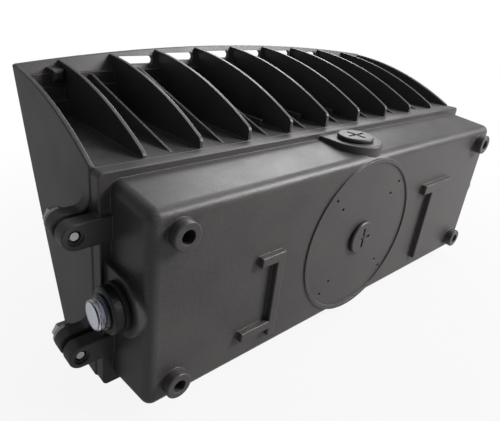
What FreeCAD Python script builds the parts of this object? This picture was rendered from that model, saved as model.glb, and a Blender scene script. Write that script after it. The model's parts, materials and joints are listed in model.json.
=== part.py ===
"""Wall pack light: a back box that fixes to a wall and a finned front housing hinged to it.

Frame: +Z up, the wall is the plane y = 0 and the light stands out of it towards -Y. The origin is the
centre of the four-boss pattern. A depth is a distance from the wall, so it is minus y. The lens side is
drawn in the window frame: u along X, v up the slope and w outwards, from the front lower edge.
"""
import FreeCAD, Part
import math
import os
import re
import Sketcher
from FreeCAD import Placement, Rotation, Vector

# Driving dimensions, millimetres and degrees.
SIZES = {
    # back box
    "half_width": 180.0, "half_height": 66.5, "boss_depth": 6.0, "box_depth": 41.5,
    "flange_thick": 7.5, "flange_round": 3.0, "flange_edge": 0.8,
    "panel_inset": 7.2, "panel_drop": 8.0, "shell_inset": 6.3, "shell_drop": 4.3, "shell_round": 6.0,
    "box_wall": 3.0, "cavity_round": 4.0,
    "wall_hole_side": 24.0, "wall_hole_edge": 20.8, "wall_hole_radius": 4.0,
    "wall_boss_radius": 7.9, "wall_boss_round": 1.0,
    "ring_radius": 57.8, "ring_width": 3.0, "ring_rise": 1.0, "ring_drop": 1.5, "ring_edge": 0.4,
    "dimple_radius": 1.25, "dimple_sink": 1.0, "dimple_near": 39.0, "dimple_far": 50.0,
    "rib_rise": 4.0, "rib_width": 6.0, "rib_edge": 0.8,
    "left_rib_x": 82.4, "left_rib_top": 14.7, "left_rib_bottom": -45.0, "left_arm": 18.6,
    "left_foot": 28.6, "left_foot_top": -33.8, "left_arm_width": 6.2,
    "right_rib_x": -91.6, "right_rib_bottom": -45.0,
    "right_bar_from": -115.0, "right_bar_to": -73.5, "right_bar_low": 15.7, "right_bar_high": 23.3,
    # drills and roots run this far past a face
    "overrun": 1.0,
    # conduit entries and plugs
    "entry_bore": 10.6, "entry_back": 15.5, "top_pad_radius": 18.5, "top_pad_rise": 2.3,
    "side_pad_radius": 17.5, "side_pad_rise": 3.8, "pad_edge": 1.2,
    "plug_lip": 1.5, "plug_head": 1.8, "plug_stem": 12.0, "plug_gap": 0.1, "plug_chamfer": 0.6,
    "seal_width": 1.4, "seal_thick": 1.0, "cross_length": 15.0, "cross_width": 2.2, "cross_sink": 1.1,
    # seal between box and housing
    "gasket_thick": 1.5, "gasket_width": 8.0, "gasket_inset": 1.2,
    # front housing
    "cheek_wall": 3.2, "cheek_draft": 1.05, "cheek_round": 2.0, "cheek_bow": 1680.0, "cheek_edge": 0.8,
    "bottom_depth": 94.5, "lean": 22.2, "brow_rise": 30.0, "brow_radius": 250.0, "crown_rise": 9.6,
    "floor_drop": 0.5, "floor_thick": 3.0, "band_wall": 3.2, "ledge_drop": 5.0, "ledge_step": 8.0,
    "bottom_thick": 3.0, "bulkhead_gap": 30.0, "bulkhead_thick": 4.0,
    "end_bay": 31.2, "fin_thick": 2.2, "fin_setback": 0.8, "fin_tail": 3.0, "fin_tail_rise": 1.6,
    "fin_drop": 0.6,
    "low_fin_thick": 1.6, "low_fin_setback": 3.5, "low_fin_back": 6.7, "low_fin_rise": 20.0,
    "low_fin_crown": 0.94, "stub_thick": 2.2, "stub_rise": 5.0, "stub_setback": 19.5, "stub_length": 30.0,
    "slot_half": 14.5, "slot_radius": 2.7, "slot_drop": 6.2, "slot_back": 8.5,
    "post_side": 25.5, "post_back": 11.0, "post_size": 8.0, "post_round": 2.5, "post_drop": 1.5,
    # bolting lugs and bolts
    "lug_z": 36.7, "lug_reach": 12.8, "lug_radius": 7.2, "lug_fillet": 6.0, "lug_back": 9.5,
    "lug_thick": 9.0, "far_lug_gap": 1.5, "far_lug_thick": 8.5, "lug_bore": 3.3, "lug_edge": 1.0,
    "lug_sink_radius": 4.5, "lug_sink": 1.5,
    "bolt_radius": 3.0, "bolt_flange_radius": 7.0, "bolt_flange_thick": 1.4, "bolt_head_flat": 5.0,
    "bolt_head_height": 5.0, "bolt_back": 2.0, "bolt_chamfer": 0.5, "bolt_point": 0.8,
    "washer_thick": 1.2, "washer_radius": 6.6, "washer_bore": 3.1,
    # hinge
    "hinge_reach": 9.0, "knuckle_radius": 6.0, "knuckle_half": 5.0, "knuckle_gap": 0.3,
    "outer_knuckle": 6.7, "arm_gap": 1.25, "pin_radius": 2.5, "pin_clearance": 0.08,
    "pin_head_radius": 4.0, "pin_head": 1.6, "pin_end": 2.4, "pin_chamfer": 0.5,
    "clip_radius": 4.4, "clip_thick": 0.8,
    # lens, in the window frame
    "frame_inset": 5.7, "frame_play": 0.6, "frame_border": 14.3, "frame_proud": 0.5,
    "frame_round": 6.0, "frame_edge": 1.0,
    "lip_sink": 7.0, "lip_thick": 3.0, "lip_inset": 16.2, "lens_inset": 8.0, "lens_thick": 4.0,
    "lens_round": 4.0, "lens_play": 0.4, "lens_seal": 1.5,
    "frame_screw_inset": 4.1, "frame_screw_radius": 1.6, "frame_screw_head": 3.2,
    "frame_screw_head_thick": 2.0, "frame_screw_length": 14.0,
    "screw_play": 0.05, "screw_boss": 4.0, "screw_boss_length": 7.0, "screw_dome": 0.4,
    # LED engine, in the window frame
    "board_half": 140.0, "board_inset": 7.8, "board_thick": 1.6, "chip_margin": 4.5, "row_margin": 5.7,
    "chip_size": 5.0, "chip_thick": 0.9, "dome_radius": 2.1, "dome_rise": 1.3, "dome_round": 0.9,
    "board_screw_side": 6.0, "board_screw_edge": 4.2, "board_screw_radius": 1.4,
    "board_screw_head": 2.7, "board_screw_head_thick": 1.8, "board_screw_length": 3.0,
    "tray_side": 9.0, "tray_edge": 10.0, "tray_wall": 1.2, "tray_lip": 5.0,
    "lead_radius": 1.2, "lead_side": 11.0, "lead_pitch": 5.0, "lead_v": 45.0, "lead_reach": 20.0,
    "grommet_radius": 5.2, "grommet_flange": 7.0, "grommet_flange_thick": 1.5,
    # driver and connector in the housing
    "driver_half": 80.0, "driver_tall": 38.0, "driver_top_gap": 5.0, "driver_gap": 7.1,
    "driver_thick": 30.0, "driver_tab": 12.0, "driver_tab_thick": 2.0, "driver_step": 0.5,
    "driver_screw_z": 11.0, "driver_boss": 5.0, "driver_screw_radius": 2.0, "driver_screw_head": 4.0,
    "driver_screw_head_thick": 2.6, "driver_screw_length": 8.0, "driver_lead_side": 20.0,
    "plug_side": 56.8, "plug_z": -32.0, "plug_half": 13.0, "plug_tall": 10.0, "seat_margin": 3.0,
    "plug_reach": 5.0, "seat_thick": 0.5, "nose_half": 9.0, "nose_tall": 6.0,
    "nose_length": 9.0, "nose_play": 0.7, "connector_gap": 0.4,
    "connector_tab": 8.0, "connector_tab_thick": 2.0, "panel_screw_radius": 1.6,
    "panel_screw_head": 3.2, "panel_screw_head_thick": 2.2, "panel_screw_stop": 1.2,
    # corners of moulded cases
    "case_corner": 2.0, "case_edge": 1.5, "block_corner": 3.0, "nose_corner": 1.5,
    # surge protector and earth screw on the panel
    "surge_side": 27.8, "surge_length": 50.0, "surge_half": 15.0, "surge_thick": 22.0,
    "surge_tab": 8.0, "earth_x": -40.0, "earth_edge": 13.5, "earth_boss": 5.5, "earth_rise": 5.0,
    # light sensor
    "sensor_bore": 9.3, "sensor_play": 0.1, "sensor_seal_radius": 13.5, "sensor_seal_thick": 3.5,
    "sensor_nut_radius": 12.8, "sensor_nut_thick": 5.5, "sensor_nut_chamfer": 1.0,
    "sensor_stem_proud": 0.8, "sensor_ridge_step": 0.2, "sensor_ridge_thick": 1.2,
    "sensor_cap_step": 1.0, "sensor_cap_length": 4.1, "sensor_cap_round": 0.8, "sensor_glaze": 1.0,
    "sensor_cell": 5.5, "sensor_cell_thick": 1.5,
    "sensor_block": 33.0, "sensor_block_half": 14.0, "sensor_block_tall": 16.0,
    # wire nuts and leads
    "nut_side": 65.8, "nut_z": 10.0, "nut_depth": 27.5, "nut_mouth": 5.5, "nut_end": 2.6,
    "nut_length": 20.0, "nut_grip": 4.0, "wire_spread": 2.4, "wire_insert": 6.0,
    "lead_inset": 8.0, "lead_run": 10.0, "lead_lift": 2.0, "inlet_shift": 3.0,
    "supply_near": 8.0, "supply_far": 16.0,
}

# Sizes and places that follow from the driving dimensions. Depths run from the wall.
TIED = {
    "parting": "box_depth + flange_thick", "housing_rear": "parting + gasket_thick",
    "panel_face": "boss_depth + box_wall", "slope": "tan(lean)",
    "panel_half_width": "half_width - panel_inset", "panel_half_height": "half_height - panel_drop",
    "shell_half_width": "half_width - shell_inset", "shell_half_height": "half_height - shell_drop",
    "cavity_x": "panel_half_width - box_wall", "cavity_z": "panel_half_height - box_wall",
    "wall_hole_x": "half_width - wall_hole_side", "wall_hole_z": "half_height - wall_hole_edge",
    "entry_depth": "box_depth - entry_back", "plug_radius": "entry_bore + plug_lip",
    "top_pad_z": "shell_half_height + top_pad_rise", "side_pad_x": "shell_half_width + side_pad_rise",
    # front housing
    "floor_z": "half_height - floor_drop", "side_top": "half_height + brow_rise",
    "ledge_top": "side_top - ledge_drop", "bay": "(half_width - end_bay) / 4",
    "brow_depth": "bottom_depth + (side_top + half_height) * slope",
    "low_fin_top": "floor_z + low_fin_rise", "low_fin_tip": "housing_rear + low_fin_setback",
    "low_fin_end": "bottom_depth + (low_fin_top + half_height) * slope - low_fin_back",
    "stub_top": "floor_z + stub_rise", "stub_start": "housing_rear + stub_setback",
    "stub_end": "stub_start + stub_length", "slot_start": "brow_depth - slot_back",
    "post_x": "half_width - post_side", "post_depth": "brow_depth - post_back",
    "post_top": "side_top - post_drop", "bulkhead_rear": "bulkhead_gap + bulkhead_thick",
    # lugs and hinge
    "lug_x": "half_width + lug_reach", "lug_start": "parting - lug_back",
    "far_lug_start": "housing_rear + far_lug_gap", "bolt_tip": "lug_start + bolt_back",
    "hinge_x": "half_width + hinge_reach", "hinge_depth": "parting + gasket_thick / 2",
    # window frame
    "recess_top": "(floor_z - floor_thick + half_height) / cos(lean) - lip_sink * slope",
    "frame_half": "half_width - frame_inset", "frame_low": "bottom_thick / cos(lean) + frame_play",
    "frame_high": "recess_top - frame_play", "frame_screw_x": "frame_half - frame_screw_inset",
    "lens_half": "frame_half - lens_inset", "lens_low": "frame_low + lens_inset",
    "lens_high": "frame_high - lens_inset", "lens_rear": "lens_seal - lip_sink",
    "lens_front": "lens_rear + lens_thick",
    "lip_half": "frame_half - lip_inset", "lip_low": "frame_low + lip_inset",
    "lip_high": "frame_high - lip_inset",
    "board_low": "lip_low + board_inset", "board_high": "lip_high - board_inset",
    "board_w": "board_thick - bulkhead_gap", "row_v": "(board_low + board_high) / 2",
    "tray_half": "board_half - tray_side", "tray_low": "board_low + tray_edge",
    "tray_high": "board_high - tray_edge", "chip_pitch": "(tray_half - chip_margin) / 5.5",
    "row_pitch": "(tray_high - tray_low) / 2 - row_margin",
    "board_screw_x": "board_half - board_screw_side", "lead_x": "driver_half - lead_side",
    # driver, connector and surge protector
    "driver_high": "floor_z - floor_thick - driver_top_gap", "driver_low": "driver_high - driver_tall",
    "driver_end": "bottom_depth + (driver_low + half_height) * slope - bulkhead_rear / cos(lean)"
                  " - driver_gap",
    "driver_start": "driver_end - driver_thick", "driver_lead_x": "driver_half - driver_lead_side",
    "plug_x": "cavity_x - plug_side", "plug_rear": "parting - plug_reach",
    "seat_low": "plug_z - plug_tall - seat_margin", "seat_high": "plug_z + plug_tall + seat_margin",
    "plug_front": "bottom_depth + (seat_low + half_height) * slope - bulkhead_rear / cos(lean) - seat_thick",
    "surge_left": "surge_side - cavity_x", "surge_right": "surge_left + surge_length",
    "earth_z": "earth_edge - cavity_z", "nut_x": "cavity_x - nut_side",
    # light sensor
    "sensor_stem": "sensor_bore - sensor_play", "sensor_ridge": "sensor_stem - sensor_ridge_step",
    "sensor_cap": "sensor_ridge - sensor_cap_step", "sensor_nut_x": "side_pad_x + sensor_seal_thick",
    "sensor_end_x": "sensor_nut_x + sensor_nut_thick + sensor_stem_proud",
}

# Places of the stub ribs, in bays from the middle
STUB_PLACES = (1.25, 0.2, -0.8)
# Edges are told apart to within this distance
NEAR = 0.01

RADIAL = {"+X": Rotation(), "-X": Rotation(Vector(0, 0, 1), 180), "+Y": Rotation(Vector(0, 0, 1), 90),
          "-Y": Rotation(Vector(0, 0, 1), -90), "+Z": Rotation(Vector(0, 1, 0), -90),
          "-Z": Rotation(Vector(0, 1, 0), 90)}

doc = FreeCAD.newDocument("wall_pack_light")
pieces = {}


# ---------------------------------------------------------------- sheet and expressions
def write_sheet():
    """Put every driving dimension into one spreadsheet, each with its alias."""
    sheet = doc.addObject("Spreadsheet::Sheet", "sizes")
    for row, (name, number) in enumerate(SIZES.items(), start=1):
        sheet.set(f"A{row}", name)
        sheet.set(f"B{row}", str(number))
        sheet.setAlias(f"B{row}", name)
    doc.recompute()
    return sheet


def full(text):
    """An expression with tied sizes worked out and each driving size as a cell of the sheet."""
    def cell(word):
        if word[0] in TIED:
            return f"({full(TIED[word[0]])})"
        return f"sizes.{word[0]}" if word[0] in SIZES else word[0]
    return re.sub(r"[a-z_]+[a-z0-9_]*", cell, str(text))


def number(text):
    """The value that an expression has now."""
    result = sheet.evalExpression(full(text))
    return float(getattr(result, "Value", result))


def bind(thing, path, text):
    """Tie one property of an object to an expression in the sheet's sizes."""
    thing.setExpression(path, full(text))


# ---------------------------------------------------------------- places that several pieces share
def front_depth(height):
    """Depth of the sloped front plane at a height."""
    return f"(bottom_depth + (({height}) + half_height) * slope)"


def bulkhead_depth(height, back="bulkhead_gap"):
    """Depth, at a height, of a plane that lies that far behind the front plane."""
    return f"({front_depth(height)} - {back} / cos(lean))"


def window_point(v, w):
    """Depth and height of a point of the window frame."""
    return (f"(bottom_depth + ({v}) * sin(lean) + ({w}) * cos(lean))",
            f"(({v}) * cos(lean) - ({w}) * sin(lean) - half_height)")


def crown(across):
    """Height that the arched crown adds at a distance from the middle."""
    return f"(crown_rise * (1 - (({across}) / half_width)^2))"


# ---------------------------------------------------------------- sketches
def new_body(label, window=False):
    """A body, in the window frame where the piece lies on the sloped front."""
    body = doc.addObject("PartDesign::Body", label)
    body.Label = label
    if window:
        body.Placement = Placement(Vector(), Rotation(Vector(1, 0, 0), SIZES["lean"]))
        bind(body, "Placement.Rotation.Angle", "lean")
        bind(body, "Placement.Base.y", "-bottom_depth")
        bind(body, "Placement.Base.z", "-half_height")
    return body


def new_sketch(body, plane, offset="0", turn=None, base=None):
    """A sketch on an origin plane, moved along its normal and turned where a face is not square."""
    sketch = body.newObject("Sketcher::SketchObject", f"{body.Name}_sketch")
    support = next(one for one in body.Origin.OriginFeatures if one.Role == f"{plane}_Plane")
    sketch.AttachmentSupport = (support, [""])
    sketch.MapMode = "FlatFace"
    if turn:
        axis, angle = turn
        sketch.AttachmentOffset = Placement(Vector(), Rotation(axis, number(angle)))
        bind(sketch, "AttachmentOffset.Rotation.Angle", angle)
    bind(sketch, "AttachmentOffset.Base.z", offset)
    for path, text in (base or {}).items():
        bind(sketch, f"AttachmentOffset.Base.{path}", text)
    return sketch


def sloped_sketch(body, w):
    """A sketch in the housing that lies in the window frame at a distance w from the front plane."""
    shift = {"y": f"-half_height - ({w}) * sin(lean)"}
    return new_sketch(body, "XZ", f"bottom_depth + ({w}) * cos(lean)", (Vector(1, 0, 0), "lean"), shift)


def fix(sketch, edge, end, point):
    """Hold one end of an edge at a place that the sheet gives."""
    for kind, text in zip(("DistanceX", "DistanceY"), point):
        index = sketch.addConstraint(Sketcher.Constraint(kind, -1, 1, edge, end, number(text)))
        bind(sketch, f"Constraints[{index}]", text)


def arc_through(start, finish, radius):
    """An arc between two points. A positive radius bulges to the right of the way it runs."""
    chord = finish - start
    reach = chord.Length / 2
    side = Vector(chord.y, -chord.x, 0).normalize() * math.copysign(1, radius)
    rise = abs(radius) - math.sqrt(max(radius * radius - reach * reach, 0))
    return Part.Arc(start, (start + finish) / 2 + side * rise, finish)


def outline(sketch, points):
    """Close an outline through points (u, v); a third value is the radius of the edge that follows."""
    spots = [Vector(number(point[0]), number(point[1]), 0) for point in points]
    ends = []
    for index, point in enumerate(points):
        start, finish = spots[index], spots[(index + 1) % len(spots)]
        if len(point) == 2:
            edge = sketch.addGeometry(Part.LineSegment(start, finish), False)
        else:
            edge = sketch.addGeometry(arc_through(start, finish, number(point[2])), False)
            size = sketch.addConstraint(Sketcher.Constraint("Radius", edge, abs(number(point[2]))))
            bind(sketch, f"Constraints[{size}]", f"abs({point[2]})")
        first, second = (sketch.getPoint(edge, end).distanceToPoint(start) for end in (1, 2))
        forward = first < second
        ends.append((edge, 1 if forward else 2, 2 if forward else 1))
    for index, point in enumerate(points):
        edge, first, _ = ends[index]
        before, _, last = ends[index - 1]
        sketch.addConstraint(Sketcher.Constraint("Coincident", before, last, edge, first))
        fix(sketch, edge, first, point[:2])
    return sketch


def circle(sketch, u, v, radius):
    """A circle whose centre and radius follow the sheet."""
    centre = Vector(number(u), number(v), 0)
    edge = sketch.addGeometry(Part.Circle(centre, Vector(0, 0, 1), number(radius)), False)
    fix(sketch, edge, 3, (u, v))
    index = sketch.addConstraint(Sketcher.Constraint("Radius", edge, number(radius)))
    bind(sketch, f"Constraints[{index}]", radius)
    return sketch


def rectangle(sketch, left, right, low, high, corner=None):
    """A rectangle, with round corners where a radius is given."""
    if corner is None:
        return outline(sketch, [(left, low), (right, low), (right, high), (left, high)])
    inner = {"l": f"{left} + {corner}", "r": f"{right} - {corner}", "b": f"{low} + {corner}",
             "t": f"{high} - {corner}"}
    return outline(sketch, [(inner["l"], low), (inner["r"], low, corner), (right, inner["b"]),
                            (right, inner["t"], corner), (inner["r"], high), (inner["l"], high, corner),
                            (left, inner["t"]), (left, inner["b"], corner)])


def tongue(root, tip, radius, level, flare=None):
    """Outline of a lug: a root in the wall, a round end and, where given, a flare at the root."""
    low, high, way = f"{level} - {radius}", f"{level} + {radius}", 1 if number(tip) > 0 else -1
    nose = f"{tip} + {way} * {radius}"
    curve = f"{way} * {radius}"
    points = [(tip, low, curve), (nose, level, curve), (tip, high)]
    if flare is None:
        return [(root, low)] + points + [(root, high)]
    wall, neck, hollow = f"{way} * half_width", f"{way} * (half_width + {flare})", f"-{way} * {flare}"
    return ([(root, f"{low} - {flare}"), (wall, f"{low} - {flare}", hollow), (neck, low)] + points
            + [(neck, high, hollow), (wall, f"{high} + {flare}"), (root, f"{high} + {flare}")])


# ---------------------------------------------------------------- features
def pad(sketch, length, reverse=False, both=False):
    """Add a prism on a sketch, one way or to both sides."""
    body = sketch.getParentGeoFeatureGroup()
    feature = body.newObject("PartDesign::Pad", f"{body.Name}_pad")
    feature.Profile = sketch
    bind(feature, "Length", length)
    feature.Reversed = reverse
    if both:
        feature.SideType = "Symmetric"
    sketch.Visibility = False
    doc.recompute()
    return feature


def pocket(sketch, length, outward=False, both=False):
    """Cut a prism on a sketch, against its normal or, when outward, along it."""
    body = sketch.getParentGeoFeatureGroup()
    before = body.Tip.Shape.Volume
    feature = body.newObject("PartDesign::Pocket", f"{body.Name}_pocket")
    feature.Profile = sketch
    bind(feature, "Length", length)
    feature.Reversed = outward
    if both:
        feature.SideType = "Symmetric"
    sketch.Visibility = False
    doc.recompute()
    if not feature.Shape.Volume < before:
        raise RuntimeError(f"{feature.Name} cuts nothing")
    return feature


def loft(body, first, second, cut=False):
    """Join two sketches by a ruled loft, added or cut."""
    kind = "PartDesign::SubtractiveLoft" if cut else "PartDesign::AdditiveLoft"
    feature = body.newObject(kind, f"{body.Name}_loft")
    feature.Profile = first
    feature.Sections = [second]
    feature.Ruled = True
    doc.recompute()
    return feature


def soften(body, radius, chosen, kind="Fillet"):
    """Round or chamfer the edges of the tip that a test chooses."""
    base = body.Tip
    names = [f"Edge{index}" for index, edge in enumerate(base.Shape.Edges, start=1) if chosen(edge)]
    if not names:
        raise RuntimeError(f"no edge to soften on {body.Label}")
    feature = body.newObject(f"PartDesign::{kind}", f"{body.Name}_soft")
    feature.Base = (base, names)
    bind(feature, "Radius" if kind == "Fillet" else "Size", radius)
    doc.recompute()
    return feature


def lies_at(edge, axis, place):
    """True where the whole edge lies at one value of an axis."""
    return all(abs(getattr(vertex.Point, axis) - place) < NEAR for vertex in edge.Vertexes)


def reaches(edge, axis, place):
    """True where some point of the edge is at least that far out along an axis, either way."""
    return any(abs(getattr(vertex.Point, axis)) > place - NEAR for vertex in edge.Vertexes)


def curved(edge, radius):
    """True where the edge is an arc of a radius."""
    return edge.Curve.TypeId == "Part::GeomCircle" and abs(edge.Curve.Radius - radius) < NEAR


def turned(label, profile, spot, way):
    """A turned piece: steps (length, radius) along its axis, set at a spot and pointing one way."""
    body = new_body(label)
    sketch = new_sketch(body, "XY")
    outline(sketch, profile)
    feature = body.newObject("PartDesign::Revolution", f"{body.Name}_turn")
    feature.Profile = sketch
    feature.ReferenceAxis = (sketch, ["H_Axis"])
    feature.Angle = 360
    body.Placement = Placement(Vector(), RADIAL[way])
    for axis, text in zip("xyz", spot):
        bind(body, f"Placement.Base.{axis}", text)
    doc.recompute()
    return body


def tube(inner, outer, length, start="0"):
    """Profile of a ring or bush."""
    end = f"{start} + {length}"
    return [(start, inner), (end, inner), (end, outer), (start, outer)]


def keep(thing, label=None):
    """Name a finished piece and list it for writing."""
    if label:
        thing.Label = label
    pieces[thing.Label] = thing
    return thing


def joined(label, members, drills):
    """One casting from several bodies, with every hole drilled through it."""
    whole = doc.addObject("Part::MultiFuse", f"{label}_solid")
    whole.Shapes = members
    casting = doc.addObject("Part::Cut", label)
    casting.Base = whole
    casting.Tool = drills
    for thing in (whole, casting):
        thing.Refine = True
    doc.recompute()
    return keep(casting, label)


def group(label, members):
    """Identical pieces kept as one named group of separate solids."""
    compound = doc.addObject("Part::Compound", label)
    compound.Links = members
    doc.recompute()
    return keep(compound, label)


# ---------------------------------------------------------------- back box
def box_shell(body):
    """The drafted pan behind the flange, open to the front, with its rounded outer edges."""
    rear = rectangle(new_sketch(body, "XZ", "boss_depth"), "-panel_half_width", "panel_half_width",
                     "-panel_half_height", "panel_half_height")
    front = rectangle(new_sketch(body, "XZ", "box_depth"), "-shell_half_width", "shell_half_width",
                      "-shell_half_height", "shell_half_height")
    loft(body, rear, front)
    mouth = -number("box_depth")
    soften(body, "shell_round", lambda edge: not lies_at(edge, "y", mouth))
    flange = rectangle(new_sketch(body, "XZ", "box_depth"), "-half_width", "half_width",
                       "-half_height", "half_height", "flange_round")
    pad(flange, "flange_thick")
    width, height = number("half_width"), number("half_height")
    soften(body, "flange_edge", lambda edge: lies_at(edge, "y", mouth) and
           (reaches(edge, "x", width) or reaches(edge, "z", height)))


def box_space(body):
    """The wiring space, open to the front."""
    space = rectangle(new_sketch(body, "XZ", "panel_face"), "-cavity_x", "cavity_x", "-cavity_z", "cavity_z",
                      "cavity_round")
    pocket(space, "parting", outward=True)


def box_pads(body):
    """The flat pads around the conduit entries: top, and one on each side."""
    top = [("-top_pad_radius", "-box_depth - overrun"), ("top_pad_radius", "-box_depth - overrun"),
           ("top_pad_radius", "-entry_depth", "top_pad_radius"),
           ("0", "top_pad_radius - entry_depth", "top_pad_radius"), ("-top_pad_radius", "-entry_depth")]
    pad(outline(new_sketch(body, "XY", "cavity_z"), top), "top_pad_z - cavity_z")
    side = [("-box_depth - overrun", "-side_pad_radius"),
            ("-entry_depth", "-side_pad_radius", "side_pad_radius"),
            ("side_pad_radius - entry_depth", "0", "side_pad_radius"), ("-entry_depth", "side_pad_radius"),
            ("-box_depth - overrun", "side_pad_radius")]
    for sign, reverse in (("", False), ("-", True)):
        pad(outline(new_sketch(body, "YZ", f"{sign}cavity_x"), side), "side_pad_x - cavity_x", reverse)
    buried, top, side = -number("box_depth + overrun"), number("top_pad_z"), number("side_pad_x")
    soften(body, "pad_edge", lambda edge: not lies_at(edge, "y", buried) and
           (lies_at(edge, "z", top) or lies_at(edge, "x", side) or lies_at(edge, "x", -side)))


def box_lugs(body):
    """Two tapped lugs on the sensor side."""
    for sign in ("", "-"):
        lug = tongue("shell_half_width - box_wall", "lug_x", "lug_radius", f"{sign}lug_z")
        pad(outline(new_sketch(body, "XZ", "lug_start"), lug), "lug_thick")
    rear, front, tip = -number("lug_start"), -number("lug_start + lug_thick"), number("lug_x")
    soften(body, "lug_edge", lambda edge: (lies_at(edge, "y", rear) or lies_at(edge, "y", front)) and
           reaches(edge, "x", tip))


def knuckle(body, low, length, arm_far, arm_near):
    """One hinge knuckle: a barrel about the hinge axis and the arm that carries it."""
    sketch = new_sketch(body, "XY", low)
    circle(sketch, "-hinge_x", "-hinge_depth", "knuckle_radius")
    pad(sketch, length)
    arm = rectangle(new_sketch(body, "XY", low), "-hinge_x", "overrun - half_width", f"-({arm_far})",
                    f"-({arm_near})")
    pad(arm, length)


def box_knuckles(body):
    """The outer hinge knuckles: two above and two below each knuckle of the housing."""
    for sign in ("", "-"):
        for low in ("knuckle_half + knuckle_gap", "-knuckle_half - knuckle_gap - outer_knuckle"):
            knuckle(body, f"{sign}lug_z + {low}", "outer_knuckle", "parting", "hinge_depth - knuckle_radius")


def corners(sketch, radius):
    """Four circles at the places of the wall holes."""
    for across in ("wall_hole_x", "-wall_hole_x"):
        for level in ("wall_hole_z", "-wall_hole_z"):
            circle(sketch, across, level, radius)
    return sketch


def box_bosses(body):
    """Wall bosses with a softened rim, and the boss of the earth screw."""
    pad(corners(new_sketch(body, "XZ", "0"), "wall_boss_radius"), "panel_face")
    soften(body, "wall_boss_round", lambda edge: lies_at(edge, "y", 0))
    pad(circle(new_sketch(body, "XZ", "boss_depth + overrun"), "earth_x", "earth_z", "earth_boss"),
        "earth_rise + box_wall - overrun")


def box_rear_face(body):
    """The raised ring and the two bracket-shaped ribs of the rear panel, rooted in it."""
    ring = new_sketch(body, "XZ", "boss_depth - ring_rise")
    circle(ring, "0", "-ring_drop", "ring_radius")
    circle(ring, "0", "-ring_drop", "ring_radius - ring_width")
    pad(ring, "ring_rise + box_wall / 2")
    crest = -number("boss_depth - ring_rise")
    soften(body, "ring_edge", lambda edge: lies_at(edge, "y", crest) and edge.Closed)
    left = [("left_rib_x", "left_rib_bottom"), ("left_rib_x + rib_width", "left_rib_bottom"),
            ("left_rib_x + rib_width", "left_foot_top - rib_width"),
            ("left_rib_x + left_foot", "left_foot_top - rib_width"), ("left_rib_x + left_foot", "left_foot_top"),
            ("left_rib_x + rib_width", "left_foot_top"),
            ("left_rib_x + rib_width", "left_rib_top - left_arm_width"),
            ("left_rib_x + left_arm", "left_rib_top - left_arm_width"), ("left_rib_x + left_arm", "left_rib_top"),
            ("left_rib_x", "left_rib_top")]
    right = [("right_rib_x", "right_rib_bottom"), ("right_rib_x + rib_width", "right_rib_bottom"),
             ("right_rib_x + rib_width", "right_bar_low"), ("right_bar_to", "right_bar_low"),
             ("right_bar_to", "right_bar_high"), ("right_bar_from", "right_bar_high"),
             ("right_bar_from", "right_bar_low"), ("right_rib_x", "right_bar_low")]
    for rib in (left, right):
        pad(outline(new_sketch(body, "XZ", "boss_depth - rib_rise"), rib), "rib_rise + box_wall / 2")
    top = -number("boss_depth - rib_rise")
    soften(body, "rib_edge", lambda edge: lies_at(edge, "y", top))


def box_drills(body):
    """Wall holes, conduit entries, lug bores, hinge bores, dimples and screw holes, as solid drills."""
    through = corners(new_sketch(body, "XZ", "-overrun"), "wall_hole_radius")
    circle(through, "0", "-ring_drop", "entry_bore")
    pad(through, "panel_face + 2 * overrun")
    pad(circle(new_sketch(body, "XY", "cavity_z - overrun"), "0", "-entry_depth", "entry_bore"),
        "top_pad_z - cavity_z + 2 * overrun")
    length = "side_pad_x - cavity_x + 2 * overrun"
    pad(circle(new_sketch(body, "YZ", "cavity_x - overrun"), "-entry_depth", "0", "sensor_bore"), length)
    pad(circle(new_sketch(body, "YZ", "overrun - cavity_x"), "-entry_depth", "0", "entry_bore"), length,
        reverse=True)
    bores, sinks = (new_sketch(body, "XZ", "lug_start - overrun") for _ in range(2))
    for level in ("lug_z", "-lug_z"):
        circle(bores, "lug_x", level, "lug_bore")
        circle(sinks, "lug_x", level, "lug_sink_radius")
    pad(bores, "lug_thick + 2 * overrun")
    pad(sinks, "lug_sink + overrun")
    pad(hinge_axis(body), "2 * half_height", both=True)
    dimples = new_sketch(body, "XZ", "boss_depth - overrun")
    for reach in ("dimple_near", "dimple_far"):
        for across, level in (("", ""), ("-", ""), ("", "-"), ("-", "-")):
            circle(dimples, f"{across}{reach} * cos(45)", f"{level}{reach} * sin(45) - ring_drop",
                   "dimple_radius")
    pad(dimples, "overrun + dimple_sink")
    screws = new_sketch(body, "XZ", "panel_face - panel_screw_stop")
    for across, level in panel_screws() + (("earth_x", "earth_z"),):
        circle(screws, across, level, "panel_screw_radius + screw_play")
    pad(screws, "panel_screw_stop + earth_rise + overrun")


def hinge_axis(body):
    """The circle of the hinge bore."""
    return circle(new_sketch(body, "XY"), "-hinge_x", "-hinge_depth", "pin_radius + pin_clearance")


def panel_screws():
    """Places of the screws that hold the connector and the surge protector to the panel."""
    return (("plug_x - plug_half - connector_tab / 2", "plug_z"),
            ("plug_x + plug_half + connector_tab / 2", "plug_z"),
            ("surge_left - surge_tab / 2", "0"), ("surge_right + surge_tab / 2", "0"))


def make_back_box():
    """The casting that fixes to the wall."""
    shell, pads, arms, bosses, drills = (new_body(f"box_{name}") for name in
                                         ("shell", "pads", "arms", "bosses", "drills"))
    box_shell(shell)
    box_space(shell)
    box_rear_face(shell)
    box_pads(pads)
    box_lugs(arms)
    box_knuckles(arms)
    box_bosses(bosses)
    box_drills(drills)
    joined("back_box", [shell, pads, arms, bosses], drills)


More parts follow.
